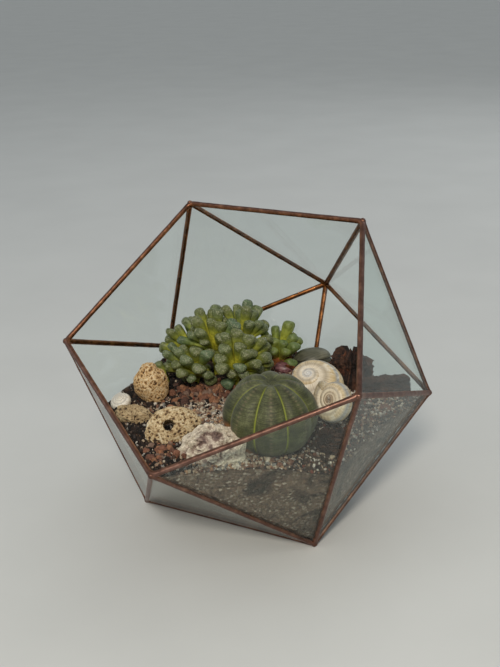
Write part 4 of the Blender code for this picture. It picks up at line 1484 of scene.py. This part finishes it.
def makeFlakes():
    s = flakeSettings
    length, width = s["length"], s["width"]
    draw = random.Random(41)
    columns, rings = 24, 14
    verts, faces = [], []
    for place in s["places"]:
        turn = (draw.uniform(-50, 50), draw.uniform(-40, 40), draw.uniform(0, 360))
        start = len(verts)
        points = []
        for i in range(rings):
            polar = math.pi * (i + 1) / (rings + 1)
            for around in turnsOf(columns):
                x = -math.cos(polar) * length
                y = math.sin(polar) * math.cos(around) * width
                curl = s["curl"] * (x * x + 1.5 * y * y)
                z = math.sin(polar) * math.sin(around) * s["thickness"] + curl
                points.append(Vector((x, y, z + 0.0006 * lumps((x, y, start), 0.003, 2))))
        points += [Vector((end, 0, s["curl"] * length ** 2)) for end in (-length, length)]
        verts += placed(points, Vector(place), turn)
        faces += loftFaces(rings, columns, start)
    turnedRight(addPiece("dried_flakes", verts, faces, dryLeaf(), ()))


makePebble()
makeFlakes()
print("loose things laid")


# camera, floor and lamps

cameraSettings = {
    "place": (0.31846, -0.56390, 0.36575),
    "right": (0.87616, 0.48119, -0.02833),
    "up": (-0.14522, 0.31956, 0.93637),
    "back": (0.45962, -0.81630, 0.34987),
    "lens": 56.17,
}
stageSettings = {"halfFloor": 20.0, "under": 0.0001, "sky": "edf1f2", "skyStrength": 0.45}
lampSettings = (
    # name, place, size, watts, colour
    ("key", (0.52, -1.20, 1.12), 0.30, 17.0, "fff4e4"),
    ("fill", (-1.3, -0.6, 1.0), 1.4, 3.0, "f2f6ff"),
    ("back", (0.2, 1.5, 1.2), 1.2, 5.0, "ffffff"),
)
lampsAimAt = Vector((0, 0, 0.08))


def paintedFloor():
    # matt painted studio floor: pale grey, faintly uneven
    material, tree, shader, where = startMaterial("matt painted studio floor", {"Roughness": 0.6})
    mottle = addNode(tree, "TexNoise", None, {"Vector": where, "Scale": perMm(120), "Detail": 4.0})
    paint = addNode(tree, "ValToRGB", {"stops": ((0.3, "c8cbca"), (0.7, "cdd0cf"))},
                    {"Fac": mottle})
    fillInputs(tree, shader, {"Base Color": paint})
    return material


def putInScene(name, data):
    thing = bpy.data.objects.new(name, data)
    bpy.context.scene.collection.objects.link(thing)
    return thing


camera = putInScene("camera", bpy.data.cameras.new("camera"))
camera.data.lens = cameraSettings["lens"]
camera.data.sensor_width = 36.0
camera.data.sensor_fit = "AUTO"
camera.data.clip_start = 0.01
axes = Matrix([cameraSettings[key] for key in ("right", "up", "back")]).transposed()
camera.matrix_world = Matrix.Translation(cameraSettings["place"]) @ axes.to_4x4()
bpy.context.scene.camera = camera

floorMesh = bpy.data.meshes.new("floor")
half = stageSettings["halfFloor"]
floorMesh.from_pydata([(-half, -half, 0), (half, -half, 0), (half, half, 0), (-half, half, 0)],
                      [], [(0, 1, 2, 3)])
floorMesh.materials.append(paintedFloor())
floor = putInScene("floor", floorMesh)
floor.location.z = -stageSettings["under"]

for name, place, size, watts, colour in lampSettings:
    lamp = putInScene(name, bpy.data.lights.new(name, "AREA"))
    lamp.data.size = size
    lamp.data.energy = watts
    lamp.data.color = hexColour(colour)[:3]
    lamp.location = place
    lamp.rotation_euler = (lampsAimAt - Vector(place)).to_track_quat("-Z", "Y").to_euler()
world = bpy.data.worlds.new("studio")
bpy.context.scene.world = world
world.use_nodes = True
fillInputs(world.node_tree, world.node_tree.nodes["Background"],
           {"Color": hexColour(stageSettings["sky"]), "Strength": stageSettings["skyStrength"]})
bpy.context.scene.view_settings.view_transform = "Standard"
